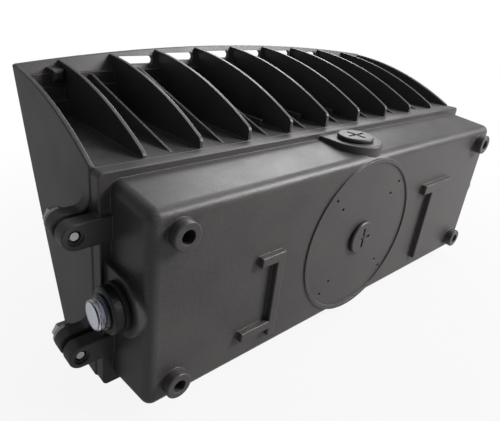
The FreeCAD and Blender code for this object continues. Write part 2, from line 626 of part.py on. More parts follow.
def make_gasket():
    """Flat seal on the flange."""
    body = new_body("box_gasket")
    sketch = new_sketch(body, "XZ", "parting")
    for inset in ("gasket_inset", "gasket_inset + gasket_width"):
        rectangle(sketch, f"-(half_width - ({inset}))", f"half_width - ({inset})",
                  f"-(half_height - ({inset}))", f"half_height - ({inset})", "flange_round")
    pad(sketch, "gasket_thick")
    keep(body)


# ---------------------------------------------------------------- front housing
def crown_profile():
    """Side view of the finned floor and of the front band with its three ledges."""
    def inner(height):
        return f"-({front_depth(height)} - band_wall)"
    ledges = [f"(ledge_top - {count} * ledge_step)" for count in range(3)]
    top = "(side_top + crown_rise + overrun)"
    recess = window_point("recess_top", "0")
    corner = window_point("recess_top", "-lip_sink")
    points = [("-housing_rear", "floor_z - floor_thick"), ("-housing_rear", "floor_z"),
              (inner("floor_z"), "floor_z"),
              (inner("floor_z"), ledges[2]), (inner(ledges[2]), ledges[2]), (inner(ledges[2]), ledges[1]),
              (inner(ledges[1]), ledges[1]), (inner(ledges[1]), ledges[0]), (inner(ledges[0]), ledges[0]),
              (inner(top), top), (f"-{front_depth(top)}", top), (f"-{recess[0]}", recess[1]),
              (f"-{corner[0]}", corner[1])]
    return points


def slab(low, high, near, far):
    """Side view of a plate that lies parallel to the front plane between two heights."""
    return [(f"-{bulkhead_depth(low, near)}", low), (f"-{bulkhead_depth(high, near)}", high),
            (f"-{bulkhead_depth(high, far)}", high), (f"-{bulkhead_depth(low, far)}", low)]


def housing_core(body):
    """Crown, bulkhead, bottom and window lip, which run from cheek to cheek."""
    width = "2 * (half_width - cheek_wall)"
    pad(outline(new_sketch(body, "YZ"), crown_profile()), width, both=True)
    arch = "(half_width^2 + crown_rise^2) / (2 * crown_rise)"
    above = [("-half_width", "side_top"), ("-half_width", "side_top + 2 * crown_rise"),
             ("half_width", "side_top + 2 * crown_rise"), ("half_width", "side_top", arch)]
    pocket(outline(new_sketch(body, "XZ"), above), "2 * bottom_depth", outward=True)
    foot, head = "overrun - half_height", "floor_z - overrun"
    pad(outline(new_sketch(body, "YZ"), slab(foot, head, "bulkhead_rear", "bulkhead_gap")), width, both=True)
    bottom = [("-housing_rear", "-half_height"), ("-bottom_depth", "-half_height"),
              (f"-{front_depth('bottom_thick - half_height')}", "bottom_thick - half_height"),
              ("-housing_rear", "bottom_thick - half_height")]
    pad(outline(new_sketch(body, "YZ"), bottom), width, both=True)
    lip = slab(foot, head, "(lip_sink + lip_thick)", "lip_sink")
    pad(outline(new_sketch(body, "YZ"), lip), width, both=True)
    window = rectangle(sloped_sketch(body, "overrun - lip_sink"), "-lip_half", "lip_half", "lip_low",
                       "lip_high", "lens_round")
    pocket(window, "lip_thick + 2 * overrun")


def housing_cheeks(body):
    """The two side walls, drafted towards the front, with their bowed front and arched top edges."""
    rear = "(housing_rear + cheek_wall * sin(cheek_draft)) / cos(cheek_draft)"
    profile = [(f"-{rear}", "-half_height"), (f"-{rear}", "half_height", "brow_radius"),
               ("-brow_depth", "side_top", "cheek_bow"), ("-bottom_depth", "-half_height")]
    start = "(half_width + housing_rear * tan(cheek_draft))"
    for sign, turn, reverse in (("", "-cheek_draft", True), ("-", "cheek_draft", False)):
        sketch = new_sketch(body, "YZ", f"{sign}{start}", (Vector(0, 1, 0), turn))
        pad(outline(sketch, profile), "cheek_wall", reverse)
    rim, side = -number(f"{rear} * cos(cheek_draft)"), number("half_width - cheek_wall / 2")
    brow = number("brow_radius")
    soften(body, "cheek_round", lambda edge: lies_at(edge, "y", rim) and reaches(edge, "x", side))
    soften(body, "cheek_edge", lambda edge: curved(edge, brow))


def housing_slots(body):
    """Oval vents through the front band in the six middle bays."""
    sketch = new_sketch(body, "XZ", "slot_start")
    for count in (-2.5, -1.5, -0.5, 0.5, 1.5, 2.5):
        middle = f"({count} * bay)"
        level = f"(side_top + {crown(middle)} - slot_drop)"
        left, right = f"{middle} - slot_half + slot_radius", f"{middle} + slot_half - slot_radius"
        outline(sketch, [(left, f"{level} - slot_radius"), (right, f"{level} - slot_radius", "slot_radius"),
                         (f"{middle} + slot_half", level, "slot_radius"),
                         (right, f"{level} + slot_radius"), (left, f"{level} + slot_radius", "slot_radius"),
                         (f"{middle} - slot_half", level, "slot_radius")])
    pocket(sketch, "bottom_depth", outward=True)


def fin_profile(across):
    """Side view of a tall fin: its arc follows the cheek's top, lifted by the crown."""
    rise = f"({crown(across)} - fin_drop)"
    tail = "(housing_rear + fin_setback)"
    top = f"(side_top + {rise})"
    root = "floor_z - overrun"
    return [(f"-{tail}", root), (f"-{tail}", f"half_height + {rise} - fin_tail_rise", "2 * fin_tail"),
            (f"-({tail} + fin_tail)", f"half_height + {rise} + fin_tail * slope", "brow_radius"),
            ("-brow_depth", top), (f"-({front_depth(top)} - band_wall / 2)", top),
            (f"-({front_depth('floor_z')} - band_wall / 2)", root)]


def housing_fins(body):
    """Nine tall fins, eight low fins between them, three stub ribs and the post of the end bay."""
    root = "floor_z - overrun"
    for count in range(-4, 5):
        across = f"({count} * bay)"
        pad(outline(new_sketch(body, "YZ", across), fin_profile(across)), "fin_thick", both=True)
    for count in (-3.5, -2.5, -1.5, -0.5, 0.5, 1.5, 2.5, 3.5):
        across = f"({count} * bay)"
        top = f"(low_fin_top + {crown(across)} * low_fin_crown)"
        profile = [("-low_fin_tip", root), ("-low_fin_tip", "floor_z"), ("-low_fin_end", top),
                   (f"-({front_depth(top)} - band_wall / 2)", top),
                   (f"-({front_depth('floor_z')} - band_wall / 2)", root)]
        pad(outline(new_sketch(body, "YZ", across), profile), "low_fin_thick", both=True)
    for count in STUB_PLACES:
        stub = [("-stub_start", root), ("-stub_start", "stub_top"), ("-stub_end", "stub_top"),
                ("-(stub_end + stub_top - floor_z)", root)]
        pad(outline(new_sketch(body, "YZ", f"{count} * bay"), stub), "stub_thick", both=True)
    foot = "(post_top - post_size)"
    post = [("-(post_depth - post_size / 2)", foot), ("-(post_depth - post_size / 2)", "post_top"),
            (f"-({front_depth('post_top')} - band_wall / 2)", "post_top"),
            (f"-({front_depth(foot)} - band_wall / 2)", foot)]
    pad(outline(new_sketch(body, "YZ", "post_x"), post), "post_size", both=True)
    rear = -number("post_depth - post_size / 2")
    soften(body, "post_round", lambda edge: lies_at(edge, "y", rear) and edge.Length < 1.5 * number("post_size"))


def housing_lugs(body):
    """Two clearance lugs on the sensor side and two hinge knuckles on the other."""
    for sign in ("", "-"):
        lug = tongue("half_width - cheek_wall", "lug_x", "lug_radius", f"{sign}lug_z", "lug_fillet")
        pad(outline(new_sketch(body, "XZ", "far_lug_start"), lug), "far_lug_thick")
    rear, front, tip = -number("far_lug_start"), -number("far_lug_start + far_lug_thick"), number("lug_x")
    soften(body, "lug_edge", lambda edge: (lies_at(edge, "y", rear) or lies_at(edge, "y", front)) and
           reaches(edge, "x", tip))
    for sign in ("", "-"):
        knuckle(body, f"{sign}lug_z - knuckle_half", "2 * knuckle_half", "hinge_depth + knuckle_radius",
                "hinge_depth + arm_gap")


def frame_screws():
    """Places of the lens frame's screws in the window frame."""
    rows = ("frame_low + frame_screw_inset", "frame_high - frame_screw_inset")
    return [(f"{share} * frame_screw_x", row) for share in ("-1", "-1/3", "1/3", "1") for row in rows]


def board_screws():
    """Places of the LED board's screws in the window frame."""
    rows = ("board_low + board_screw_edge", "board_high - board_screw_edge")
    return [(f"{share} * board_screw_x", row) for share in ("-1", "0", "1") for row in rows]


def driver_screws():
    """Places of the driver's screws in X and Z."""
    middle = "(driver_low + driver_high) / 2"
    return [(f"{side} * (driver_half + driver_tab / 2)", f"{middle} {step} driver_screw_z")
            for side in ("-1", "1") for step in ("-", "+")]


def housing_bosses(body):
    """Screw bosses behind the lip and behind the driver, and the connector's seat."""
    bosses = sloped_sketch(body, "-lip_sink - lip_thick / 2")
    for across, level in frame_screws():
        circle(bosses, across, level, "screw_boss")
    pad(bosses, "screw_boss_length + lip_thick / 2", reverse=True)
    for across, level in driver_screws():
        seat = circle(new_sketch(body, "XZ", "driver_end"), across, level, "driver_boss")
        pad(seat, f"{bulkhead_depth(level, '(bulkhead_gap + bulkhead_thick / 2)')} - driver_end")
    low, high, inside = "seat_low", "seat_high", "(bulkhead_gap + bulkhead_thick / 2)"
    seat = [("-plug_front", low), ("-plug_front", high), (f"-{bulkhead_depth(high, inside)}", high),
            (f"-{bulkhead_depth(low, inside)}", low)]
    pad(outline(new_sketch(body, "YZ", "plug_x"), seat), "2 * (plug_half + seat_margin)", both=True)


def housing_drills(body):
    """Lug and hinge bores, screw holes and the way for the leads, as solid drills."""
    bores = new_sketch(body, "XZ", "far_lug_start - overrun")
    for level in ("lug_z", "-lug_z"):
        circle(bores, "lug_x", level, "lug_bore")
    pad(bores, "far_lug_thick + 2 * overrun")
    pad(hinge_axis(body), "2 * half_height", both=True)
    holes = sloped_sketch(body, "overrun - lip_sink")
    for across, level in frame_screws():
        circle(holes, across, level, "frame_screw_radius + screw_play")
    pad(holes, "lip_thick + screw_boss_length", reverse=True)
    threads = new_sketch(body, "XZ", "driver_end - overrun")
    for across, level in driver_screws():
        circle(threads, across, level, "driver_screw_radius + screw_play")
    pad(threads, "driver_screw_length - driver_tab_thick + 2 * overrun")
    tapped = sloped_sketch(body, "overrun - bulkhead_gap")
    for across, level in board_screws():
        circle(tapped, across, level, "board_screw_radius + screw_play")
    pad(tapped, "board_screw_length - board_thick + 1.5 * overrun", reverse=True)
    lead = circle(sloped_sketch(body, "overrun - bulkhead_gap"), "-lead_x", "lead_v", "grommet_radius")
    pad(lead, "bulkhead_thick + 2 * overrun", reverse=True)


def make_housing():
    """The finned casting that carries the lens, the LED engine and the driver."""
    core, cheeks, fins, lugs, bosses, drills = (new_body(f"housing_{name}") for name in
                                                ("core", "cheeks", "fins", "lugs", "bosses", "drills"))
    housing_core(core)
    housing_cheeks(cheeks)
    housing_slots(core)
    housing_fins(fins)
    housing_lugs(lugs)
    housing_bosses(bosses)
    housing_drills(drills)
    joined("front_housing", [core, cheeks, fins, lugs, bosses], drills)


# ---------------------------------------------------------------- lens, reflector and LED board
def make_lens_frame():
    """Frame that clamps the glass, with a rebate behind for the glass and counterbored screws."""
    body = new_body("lens_frame", window=True)
    outer = rectangle(new_sketch(body, "XZ", "-lip_sink"), "-frame_half", "frame_half", "frame_low", "frame_high",
                      "frame_round")
    pad(outer, "lip_sink + frame_proud")
    view = rectangle(new_sketch(body, "XZ", "-lip_sink"), "frame_border - frame_half", "frame_half - frame_border",
                     "frame_low + frame_border", "frame_high - frame_border", "lens_round")
    pocket(view, "lip_sink + frame_proud + overrun", outward=True)
    front = number("frame_proud")
    soften(body, "frame_edge", lambda edge: lies_at(edge, "y", -front), "Chamfer")
    rebate = rectangle(new_sketch(body, "XZ", "-lip_sink"), "-(lens_half + lens_play)", "lens_half + lens_play",
                       "lens_low - lens_play", "lens_high + lens_play", "lens_round")
    pocket(rebate, "lens_front + lip_sink", outward=True)
    holes, sinks = new_sketch(body, "XZ", "-lip_sink"), new_sketch(body, "XZ", "frame_proud")
    for across, level in frame_screws():
        circle(holes, across, level, "frame_screw_radius + 4 * screw_play")
        circle(sinks, across, level, "frame_screw_head + 4 * screw_play")
    pocket(holes, "lip_sink + frame_proud + overrun", outward=True)
    pocket(sinks, "frame_screw_head_thick")
    keep(body)


def make_lens():
    """The glass and the seal behind its edge."""
    glass = new_body("lens_glass", window=True)
    plate = rectangle(new_sketch(glass, "XZ", "lens_rear"), "-lens_half", "lens_half", "lens_low", "lens_high",
                      "lens_round")
    pad(plate, "lens_thick")
    keep(glass)
    seal = new_body("lens_gasket", window=True)
    sketch = new_sketch(seal, "XZ", "-lip_sink")
    rectangle(sketch, "-lens_half", "lens_half", "lens_low", "lens_high", "lens_round")
    rectangle(sketch, "-lip_half", "lip_half", "lip_low", "lip_high", "lens_round")
    pad(sketch, "lens_seal")
    keep(seal)


def window_screws(label, places, seat, head, head_thick, shank, length):
    """A set of screws in the window frame: each a domed head on its seat and a shank behind it."""
    body = new_body(label, window=True)
    heads = new_sketch(body, "XZ", seat)
    shanks = new_sketch(body, "XZ", seat)
    for across, level in places:
        circle(heads, across, level, head)
        circle(shanks, across, level, shank)
    pad(heads, head_thick)
    front = -number(f"{seat} + {head_thick}")
    soften(body, f"{head_thick} * screw_dome", lambda edge: lies_at(edge, "y", front))
    pad(shanks, length, reverse=True)
    keep(body)


def make_reflector():
    """Tray that flares from the LED board to the window, with a flange behind the lip."""
    body = new_body("reflector", window=True)
    rear, front = "board_w", "-(lip_sink + lip_thick)"
    def tray(margin):
        low = rectangle(new_sketch(body, "XZ", rear), f"-(tray_half + {margin})", f"tray_half + {margin}",
                        f"tray_low - {margin}", f"tray_high + {margin}")
        high = rectangle(new_sketch(body, "XZ", front), f"-(lip_half - tray_wall + {margin})",
                         f"lip_half - tray_wall + {margin}", f"lip_low + tray_wall - {margin}",
                         f"lip_high - tray_wall + {margin}")
        return low, high
    loft(body, *tray("tray_wall"))
    flange = rectangle(new_sketch(body, "XZ", front), "-(lip_half + tray_lip)", "lip_half + tray_lip",
                       "lip_low - tray_lip", "lip_high + tray_lip", "lens_round")
    pad(flange, "tray_wall", reverse=True)
    loft(body, *tray("0"), cut=True)
    keep(body)


def make_board():
    """The LED board, its packages in three rows of twelve, and its screws."""
    board = new_body("led_board", window=True)
    plate = rectangle(new_sketch(board, "XZ", "-bulkhead_gap"), "-board_half", "board_half", "board_low",
                      "board_high", "cavity_round")
    pad(plate, "board_thick")
    holes = new_sketch(board, "XZ", "-bulkhead_gap")
    for across, level in board_screws():
        circle(holes, across, level, "board_screw_radius + 2 * screw_play")
    for side in ("-", "+"):
        circle(holes, f"-lead_x {side} lead_pitch / 2", "lead_v", "lead_radius + screw_play")
    pocket(holes, "board_thick + overrun", outward=True)
    keep(board)
    window_screws("led_board_screws", board_screws(), "board_w", "board_screw_head", "board_screw_head_thick",
                  "board_screw_radius", "board_screw_length")


def make_chips():
    """One LED package with its dome, repeated along the rows and up the slope."""
    body = new_body("led_chips", window=True)
    start, low = "(-5.5 * chip_pitch)", "(row_v - row_pitch)"
    base = rectangle(new_sketch(body, "XZ", "board_w"), f"{start} - chip_size / 2",
                     f"{start} + chip_size / 2",
                     f"{low} - chip_size / 2", f"{low} + chip_size / 2")
    package = pad(base, "chip_thick")
    dome = pad(circle(new_sketch(body, "XZ", "board_w + chip_thick"), start, low, "dome_radius"), "dome_rise")
    front = -number("board_w + chip_thick + dome_rise")
    crest = soften(body, "dome_rise * dome_round", lambda edge: lies_at(edge, "y", front))
    planes = {one.Role: one for one in body.Origin.OriginFeatures}
    rows = body.newObject("PartDesign::LinearPattern", "led_rows")
    rows.Originals = [package, dome, crest]
    rows.TransformMode = "Whole shape"
    rows.Direction = (planes["X_Axis"], [""])
    bind(rows, "Length", "11 * chip_pitch")
    rows.Occurrences = 12
    rows.Direction2 = (planes["Z_Axis"], [""])
    bind(rows, "Length2", "2 * row_pitch")
    rows.Occurrences2 = 3
    body.Tip = rows
    doc.recompute()
    keep(body)


# ---------------------------------------------------------------- driver, leads and connector
def make_driver():
    """The driver: a potted case with a screw tab at each end, held to its bosses by four screws."""
    body = new_body("led_driver")
    tabs = rectangle(new_sketch(body, "XZ", "driver_end - driver_tab_thick"), "-(driver_half + driver_tab)",
                     "driver_half + driver_tab", "driver_low + driver_step", "driver_high - driver_step")
    pad(tabs, "driver_tab_thick")
    case = rectangle(new_sketch(body, "XZ", "driver_start"), "-driver_half", "driver_half", "driver_low",
                     "driver_high", "case_corner")
    pad(case, "driver_thick - driver_step")
    rear = -number("driver_start")
    soften(body, "case_edge", lambda edge: lies_at(edge, "y", rear))
    holes = new_sketch(body, "XZ", "driver_start")
    for across, level in driver_screws():
        circle(holes, across, level, "driver_screw_radius + screw_play")
    pocket(holes, "driver_thick + overrun", outward=True)
    keep(body)
    screws = new_body("driver_screws")
    seat = "driver_end - driver_tab_thick"
    heads, shanks = new_sketch(screws, "XZ", seat), new_sketch(screws, "XZ", seat)
    for across, level in driver_screws():
        circle(heads, across, level, "driver_screw_head")
        circle(shanks, across, level, "driver_screw_radius")
    pad(heads, "driver_screw_head_thick", reverse=True)
    rear = -number(f"{seat} - driver_screw_head_thick")
    soften(screws, "driver_screw_head_thick * screw_dome", lambda edge: lies_at(edge, "y", rear))
    pad(shanks, "driver_screw_length")
    keep(screws)


def sweep_lead(points, radius):
    """A round lead along straight runs joined by tangent arcs."""
    spots = [Vector(number(x), -number(depth), number(z)) for x, depth, z in points]
    edges, start = [], spots[0]
    for before, corner, after in zip(spots, spots[1:], spots[2:]):
        into, out = (corner - before), (after - corner)
        trim = 0.45 * min(into.Length, out.Length)
        enter = corner - into.normalize() * trim
        leave = corner + out.normalize() * trim
        half = math.radians(180 - math.degrees(into.getAngle(out))) / 2
        bend = trim * math.tan(half)
        middle = corner + (leave + enter - corner * 2).normalize() * (bend / math.sin(half) - bend)
        edges.append(Part.LineSegment(start, enter).toShape())
        edges.append(Part.Arc(enter, middle, leave).toShape())
        start = leave
    edges.append(Part.LineSegment(start, spots[-1]).toShape())
    path = Part.Wire(edges)
    section = Part.Wire(Part.makeCircle(radius, spots[0], spots[1] - spots[0]))
    return path.makePipeShell([section], True, False)


def make_leads(label, routes):
    """A set of leads kept as one node."""
    piece = doc.addObject("Part::Feature", label)
    piece.Shape = Part.makeCompound([sweep_lead(route, number("lead_radius")) for route in routes])
    piece.Placement = Placement()
    doc.recompute()
    keep(piece, label)


def make_all_leads():
    """Leads from connector to driver, from driver to board, and in the wiring space."""
    board = window_point("lead_v", "-bulkhead_gap")
    corner = window_point("lead_v", "-bulkhead_gap - lead_reach")
    pair = [f"-lead_x {side} lead_pitch / 2" for side in ("-", "+")]
    make_leads("led_leads", [[(across, corner[0], "driver_low"), (across, *corner), (across, *board)]
                             for across in pair])
    make_leads("driver_leads", [driver_lead(step) for step in (0, 1)])
    make_leads("photocell_leads", [photocell_lead(sign) for sign in ("-1", "1")])
    make_leads("supply_leads", [supply_lead("-1", "supply_near"), supply_lead("1", "supply_far")])


def driver_lead(step):
    """Route of a lead from the driver down, across and into the connector."""
    start, end = f"driver_lead_x - {step} * lead_pitch", f"plug_x - {step} * lead_pitch"
    inlet = "(plug_front + plug_rear) / 2 + inlet_shift"
    bend = f"(driver_low + plug_z + plug_tall) / 2 - {step} * lead_pitch"
    return [(start, "driver_start + lead_inset", "driver_low"), (start, "driver_start + lead_inset", bend),
            (end, inlet, bend), (end, inlet, "plug_z + plug_tall")]


def photocell_lead(sign):
    """Route of a lead from the light sensor into a wire nut."""
    block, depth = "cavity_x - sensor_block", "entry_depth + lead_lift"
    return [(block, depth, f"{sign} * nut_z / 2"), (f"{block} - lead_run", depth, f"{sign} * nut_z / 2"),
            ("nut_x + lead_run", "nut_depth + wire_spread", f"{sign} * nut_z"),
            ("nut_x - wire_insert", "nut_depth + wire_spread", f"{sign} * nut_z")]


def supply_lead(sign, reach):
    """Route of a lead from the connector up and into a wire nut."""
    depth = "nut_depth - wire_spread"
    return [(f"nut_x + {reach}", depth, "plug_z + plug_tall"), (f"nut_x + {reach}", depth, f"{sign} * nut_z"),
            ("nut_x - wire_insert", depth, f"{sign} * nut_z")]


def make_wire_nuts():
    """Two twist-on connectors, wider at the mouth, hollow where the wires enter."""
    profile = [("0", "0"), ("nut_length - wire_insert", "0"), ("nut_length - wire_insert", "nut_grip"),
               ("nut_length", "nut_grip"), ("nut_length", "nut_mouth"), ("0", "nut_end")]
    nuts = [turned(f"wire_nut_{index}", profile, ("nut_x - nut_length", "-nut_depth", level), "+X")
            for index, level in enumerate(("-nut_z", "nut_z"), start=1)]
    group("wire_nuts", nuts)


def make_grommet():
    """Rubber bush in the bulkhead, with a flange behind it and a way for the two leads."""
    body = new_body("lead_grommet", window=True)
    flange = circle(new_sketch(body, "XZ", "-bulkhead_rear"), "-lead_x", "lead_v", "grommet_flange")
    pad(flange, "grommet_flange_thick", reverse=True)
    bush = circle(new_sketch(body, "XZ", "-bulkhead_rear"), "-lead_x", "lead_v", "grommet_radius - screw_play")
    pad(bush, "bulkhead_thick")
    way = new_sketch(body, "XZ", "-bulkhead_gap")
    for side in ("-", "+"):
        circle(way, f"-lead_x {side} lead_pitch / 2", "lead_v", "lead_radius + screw_play")
    pocket(way, "bulkhead_thick + grommet_flange_thick + overrun")
    keep(body)


def make_connector():
    """Quick connector: the housing half has a nose that parts from the box half as the light opens."""
    left, right = "plug_x - plug_half", "plug_x + plug_half"
    low, high = "plug_z - plug_tall", "plug_z + plug_tall"
    nose = ("plug_x - nose_half", "plug_x + nose_half", "plug_z - nose_tall", "plug_z + nose_tall", "nose_corner")
    male = new_body("connector_housing_half")
    pad(rectangle(new_sketch(male, "XZ", "plug_rear"), left, right, low, high, "case_corner"),
        "plug_front - plug_rear")
    pad(rectangle(new_sketch(male, "XZ", "plug_rear"), *nose), "nose_length", reverse=True)
    keep(male)
    female = new_body("connector_box_half")
    base = rectangle(new_sketch(female, "XZ", "panel_face"), f"{left} - connector_tab",
                     f"{right} + connector_tab", low, high, "case_corner")
    pad(base, "connector_tab_thick")
    pad(rectangle(new_sketch(female, "XZ", "panel_face"), left, right, low, high, "case_corner"),
        "plug_rear - connector_gap - panel_face")
    socket = rectangle(new_sketch(female, "XZ", "plug_rear - nose_length - overrun"),
                       "plug_x - nose_half - nose_play", "plug_x + nose_half + nose_play",
                       "plug_z - nose_tall - nose_play", "plug_z + nose_tall + nose_play", "nose_corner")
    pocket(socket, "nose_length + 2 * overrun", outward=True)
    holes = new_sketch(female, "XZ", "panel_face")
    for across, level in panel_screws()[:2]:
        circle(holes, across, level, "panel_screw_radius + screw_play")
    pocket(holes, "connector_tab_thick + overrun", outward=True)
    keep(female)
    panel_screw_set("connector_screws", panel_screws()[:2], "panel_face + connector_tab_thick")


def panel_screw_set(label, places, seat):
    """Screws that go into the panel from inside the box."""
    body = new_body(label)
    heads, shanks = new_sketch(body, "XZ", seat), new_sketch(body, "XZ", seat)
    for across, level in places:
        circle(heads, across, level, "panel_screw_head")
        circle(shanks, across, level, "panel_screw_radius")
    pad(heads, "panel_screw_head_thick")
    front = -number(f"{seat} + panel_screw_head_thick")
    soften(body, "panel_screw_head_thick * screw_dome", lambda edge: lies_at(edge, "y", front))
    pad(shanks, f"{seat} - panel_face + panel_screw_stop", reverse=True)
    keep(body)


def make_surge_protector():
    """Surge protector on the panel, with a tab at each end, and the earth screw on its boss."""
    body = new_body("surge_protector")
    tabs = rectangle(new_sketch(body, "XZ", "panel_face"), "surge_left - surge_tab", "surge_right + surge_tab",
                     "-surge_half / 2", "surge_half / 2", "case_corner")
    pad(tabs, "connector_tab_thick")
    case = rectangle(new_sketch(body, "XZ", "panel_face"), "surge_left", "surge_right", "-surge_half",
                     "surge_half", "block_corner")
    pad(case, "surge_thick")
    front = -number("panel_face + surge_thick")
    soften(body, "case_edge", lambda edge: lies_at(edge, "y", front))
    holes = new_sketch(body, "XZ", "panel_face")
    for across, level in panel_screws()[2:]:
        circle(holes, across, level, "panel_screw_radius + screw_play")
    pocket(holes, "connector_tab_thick + overrun", outward=True)
    keep(body)
    panel_screw_set("surge_screws", panel_screws()[2:], "panel_face + connector_tab_thick")
    panel_screw_set("ground_screw", [("earth_x", "earth_z")], "panel_face + earth_rise")


# ---------------------------------------------------------------- light sensor
def make_light_sensor():
    """Sensor block inside, its threaded stem through the wall, and what is stacked on it outside."""
    body = new_body("photocell_body")
    block = rectangle(new_sketch(body, "YZ", "cavity_x"), "-(entry_depth + sensor_block_half)",
                      "-(entry_depth - sensor_block_half)", "-sensor_block_tall", "sensor_block_tall",
                      "block_corner")
    pad(block, "sensor_block", reverse=True)
    stem = circle(new_sketch(body, "YZ", "cavity_x - overrun"), "-entry_depth", "0", "sensor_stem")
    pad(stem, "sensor_end_x - cavity_x + overrun")
    keep(body)
    spot = ("side_pad_x", "-entry_depth", "0")
    keep(turned("photocell_seal", tube("sensor_bore", "sensor_seal_radius", "sensor_seal_thick"), spot, "+X"))
    nut = [("0", "sensor_stem + screw_play"), ("sensor_nut_thick", "sensor_stem + screw_play"),
           ("sensor_nut_thick", "sensor_nut_radius - sensor_nut_chamfer"),
           ("sensor_nut_thick - sensor_nut_chamfer", "sensor_nut_radius"),
           ("0", "sensor_nut_radius")]
    keep(turned("photocell_nut", nut, ("sensor_nut_x", "-entry_depth", "0"), "+X"))
    cap_end = "sensor_ridge_thick + sensor_cap_length"
    lens = [("0", "sensor_cap - sensor_glaze"), (f"{cap_end} - sensor_glaze", "sensor_cap - sensor_glaze"),
            (f"{cap_end} - sensor_glaze", "0"), (cap_end, "0"),
            (cap_end, "sensor_cap - sensor_cap_round", "sensor_cap_round"),
            (f"{cap_end} - sensor_cap_round", "sensor_cap"), ("sensor_ridge_thick", "sensor_cap"),
            ("sensor_ridge_thick", "sensor_ridge"), ("0", "sensor_ridge")]
    keep(turned("photocell_lens", lens, ("sensor_end_x", "-entry_depth", "0"), "+X"))
    cell = [("0", "0"), ("sensor_cell_thick", "0"), ("sensor_cell_thick", "sensor_cell"), ("0", "sensor_cell")]
    keep(turned("photocell_sensor", cell, ("sensor_end_x", "-entry_depth", "0"), "+X"))


# ---------------------------------------------------------------- conduit plugs
def make_plug(label, spot, way):
    """A threaded plug: its head bears on a seal and a cross is sunk in the head."""
    profile = [("-plug_stem", "0"), ("seal_thick + plug_head", "0"),
               ("seal_thick + plug_head", "plug_radius - plug_chamfer"),
               ("seal_thick + plug_head - plug_chamfer", "plug_radius"), ("seal_thick", "plug_radius"),
               ("seal_thick", "entry_bore - plug_gap"), ("-plug_stem", "entry_bore - plug_gap")]
    body = turned(label, profile, spot, way)
    for long, wide in (("cross_length", "cross_width"), ("cross_width", "cross_length")):
        slot = rectangle(new_sketch(body, "YZ", "seal_thick + plug_head"), f"-{long} / 2", f"{long} / 2",
                         f"-{wide} / 2", f"{wide} / 2")
        pocket(slot, "cross_sink")
    keep(body)


def make_plugs():
    """Plugs in the top, rear and far-side entries, and their seals."""
    places = (("top_plug", ("0", "-entry_depth", "top_pad_z"), "+Z"),
              ("rear_plug", ("0", "-boss_depth", "-ring_drop"), "+Y"),
              ("side_plug", ("-side_pad_x", "-entry_depth", "0"), "-X"))
    for label, spot, way in places:
        make_plug(label, spot, way)
    ring = tube("entry_bore", "entry_bore + seal_width", "seal_thick")
    group("plug_seals", [turned(f"{label}_seal", ring, spot, way) for label, spot, way in places])


# ---------------------------------------------------------------- lug bolts and hinge pins
def make_bolts():
    """Flange bolts through the housing lugs into the box lugs, each with its washer."""
    face = "(far_lug_start + far_lug_thick)"
    across = "bolt_head_flat / cos(30)"
    for label, level in (("upper", "lug_z"), ("lower", "-lug_z")):
        keep(turned(f"{label}_washer", tube("washer_bore", "washer_radius", "washer_thick"),
                    ("lug_x", f"-{face}", level), "-Y"))
        start = f"({face} + washer_thick)"
        shank = f"({start} - bolt_tip)"
        profile = [(f"-{shank}", "0"), ("bolt_flange_thick", "0"),
                   ("bolt_flange_thick", "bolt_flange_radius - bolt_chamfer"), ("0", "bolt_flange_radius"),
                   ("0", "bolt_radius"), (f"bolt_point - {shank}", "bolt_radius"),
                   (f"-{shank}", "bolt_radius - bolt_point")]
        bolt = turned(f"{label}_bolt", profile, ("lug_x", f"-{start}", level), "-Y")
        hexagon = [(f"{across} * cos({60 * corner})", f"{across} * sin({60 * corner})") for corner in range(6)]
        pad(outline(new_sketch(bolt, "YZ", "0"), hexagon), "bolt_flange_thick + bolt_head_height")
        keep(bolt)


def make_pins():
    """Headed hinge pins and the clips that keep them."""
    half = "(knuckle_half + knuckle_gap + outer_knuckle)"
    pins, clips = [], []
    for index, level in enumerate(("lug_z", "-lug_z"), start=1):
        pin = [(f"-{half} - pin_end", "0"), (f"{half} + pin_head", "0"),
               (f"{half} + pin_head", "pin_head_radius - pin_chamfer"),
               (f"{half} + pin_head - pin_chamfer", "pin_head_radius"), (half, "pin_head_radius"),
               (half, "pin_radius"),
               (f"-{half} - pin_end", "pin_radius")]
        spot = ("-hinge_x", "-hinge_depth", level)
        pins.append(turned(f"hinge_pin_{index}", pin, spot, "+Z"))
        clip = tube("pin_radius", "clip_radius", "clip_thick", f"-{half} - clip_thick")
        clips.append(turned(f"pin_clip_{index}", clip, spot, "+Z"))
    group("hinge_pins", pins)
    group("pin_clips", clips)


# ---------------------------------------------------------------- checks and files
def check_and_write():
    """Stop on any failed object or bad shape, then write each piece to its own file."""
    doc.recompute()
    failed = [thing.Name for thing in doc.Objects if {"Invalid", "Error"} & set(thing.State)]
    bad = [label for label, thing in pieces.items() if thing.Shape.isNull() or not thing.Shape.isValid()]
    if failed or bad:
        raise RuntimeError(f"failed objects {failed}, bad shapes {bad}")
    os.makedirs("parts", exist_ok=True)
    for label, thing in pieces.items():
        thing.Shape.exportStep(f"parts/{label}.step")


sheet = write_sheet()
make_back_box()
make_gasket()
make_housing()
make_lens_frame()
make_lens()
window_screws("lens_frame_screws", frame_screws(), "frame_proud - frame_screw_head_thick", "frame_screw_head",
              "frame_screw_head_thick", "frame_screw_radius", "frame_screw_length")
make_reflector()
make_board()
make_chips()
make_driver()
make_all_leads()
make_wire_nuts()
make_grommet()
make_connector()
make_surge_protector()
make_light_sensor()
make_plugs()
make_bolts()
make_pins()
check_and_write()
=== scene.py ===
"""Looks of the wall pack light: finishes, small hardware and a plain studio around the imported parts.

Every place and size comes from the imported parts, or is a named field of the class that needs it. Lengths are
metres, in the parts' own frame: +Z up, the wall is the plane y = 0 and the light stands out towards -Y.
"""
import functools
import json
import logging
import math
from dataclasses import dataclass
from enum import Enum
from typing import Sequence

import bmesh
import bpy
from mathutils import Matrix, Vector


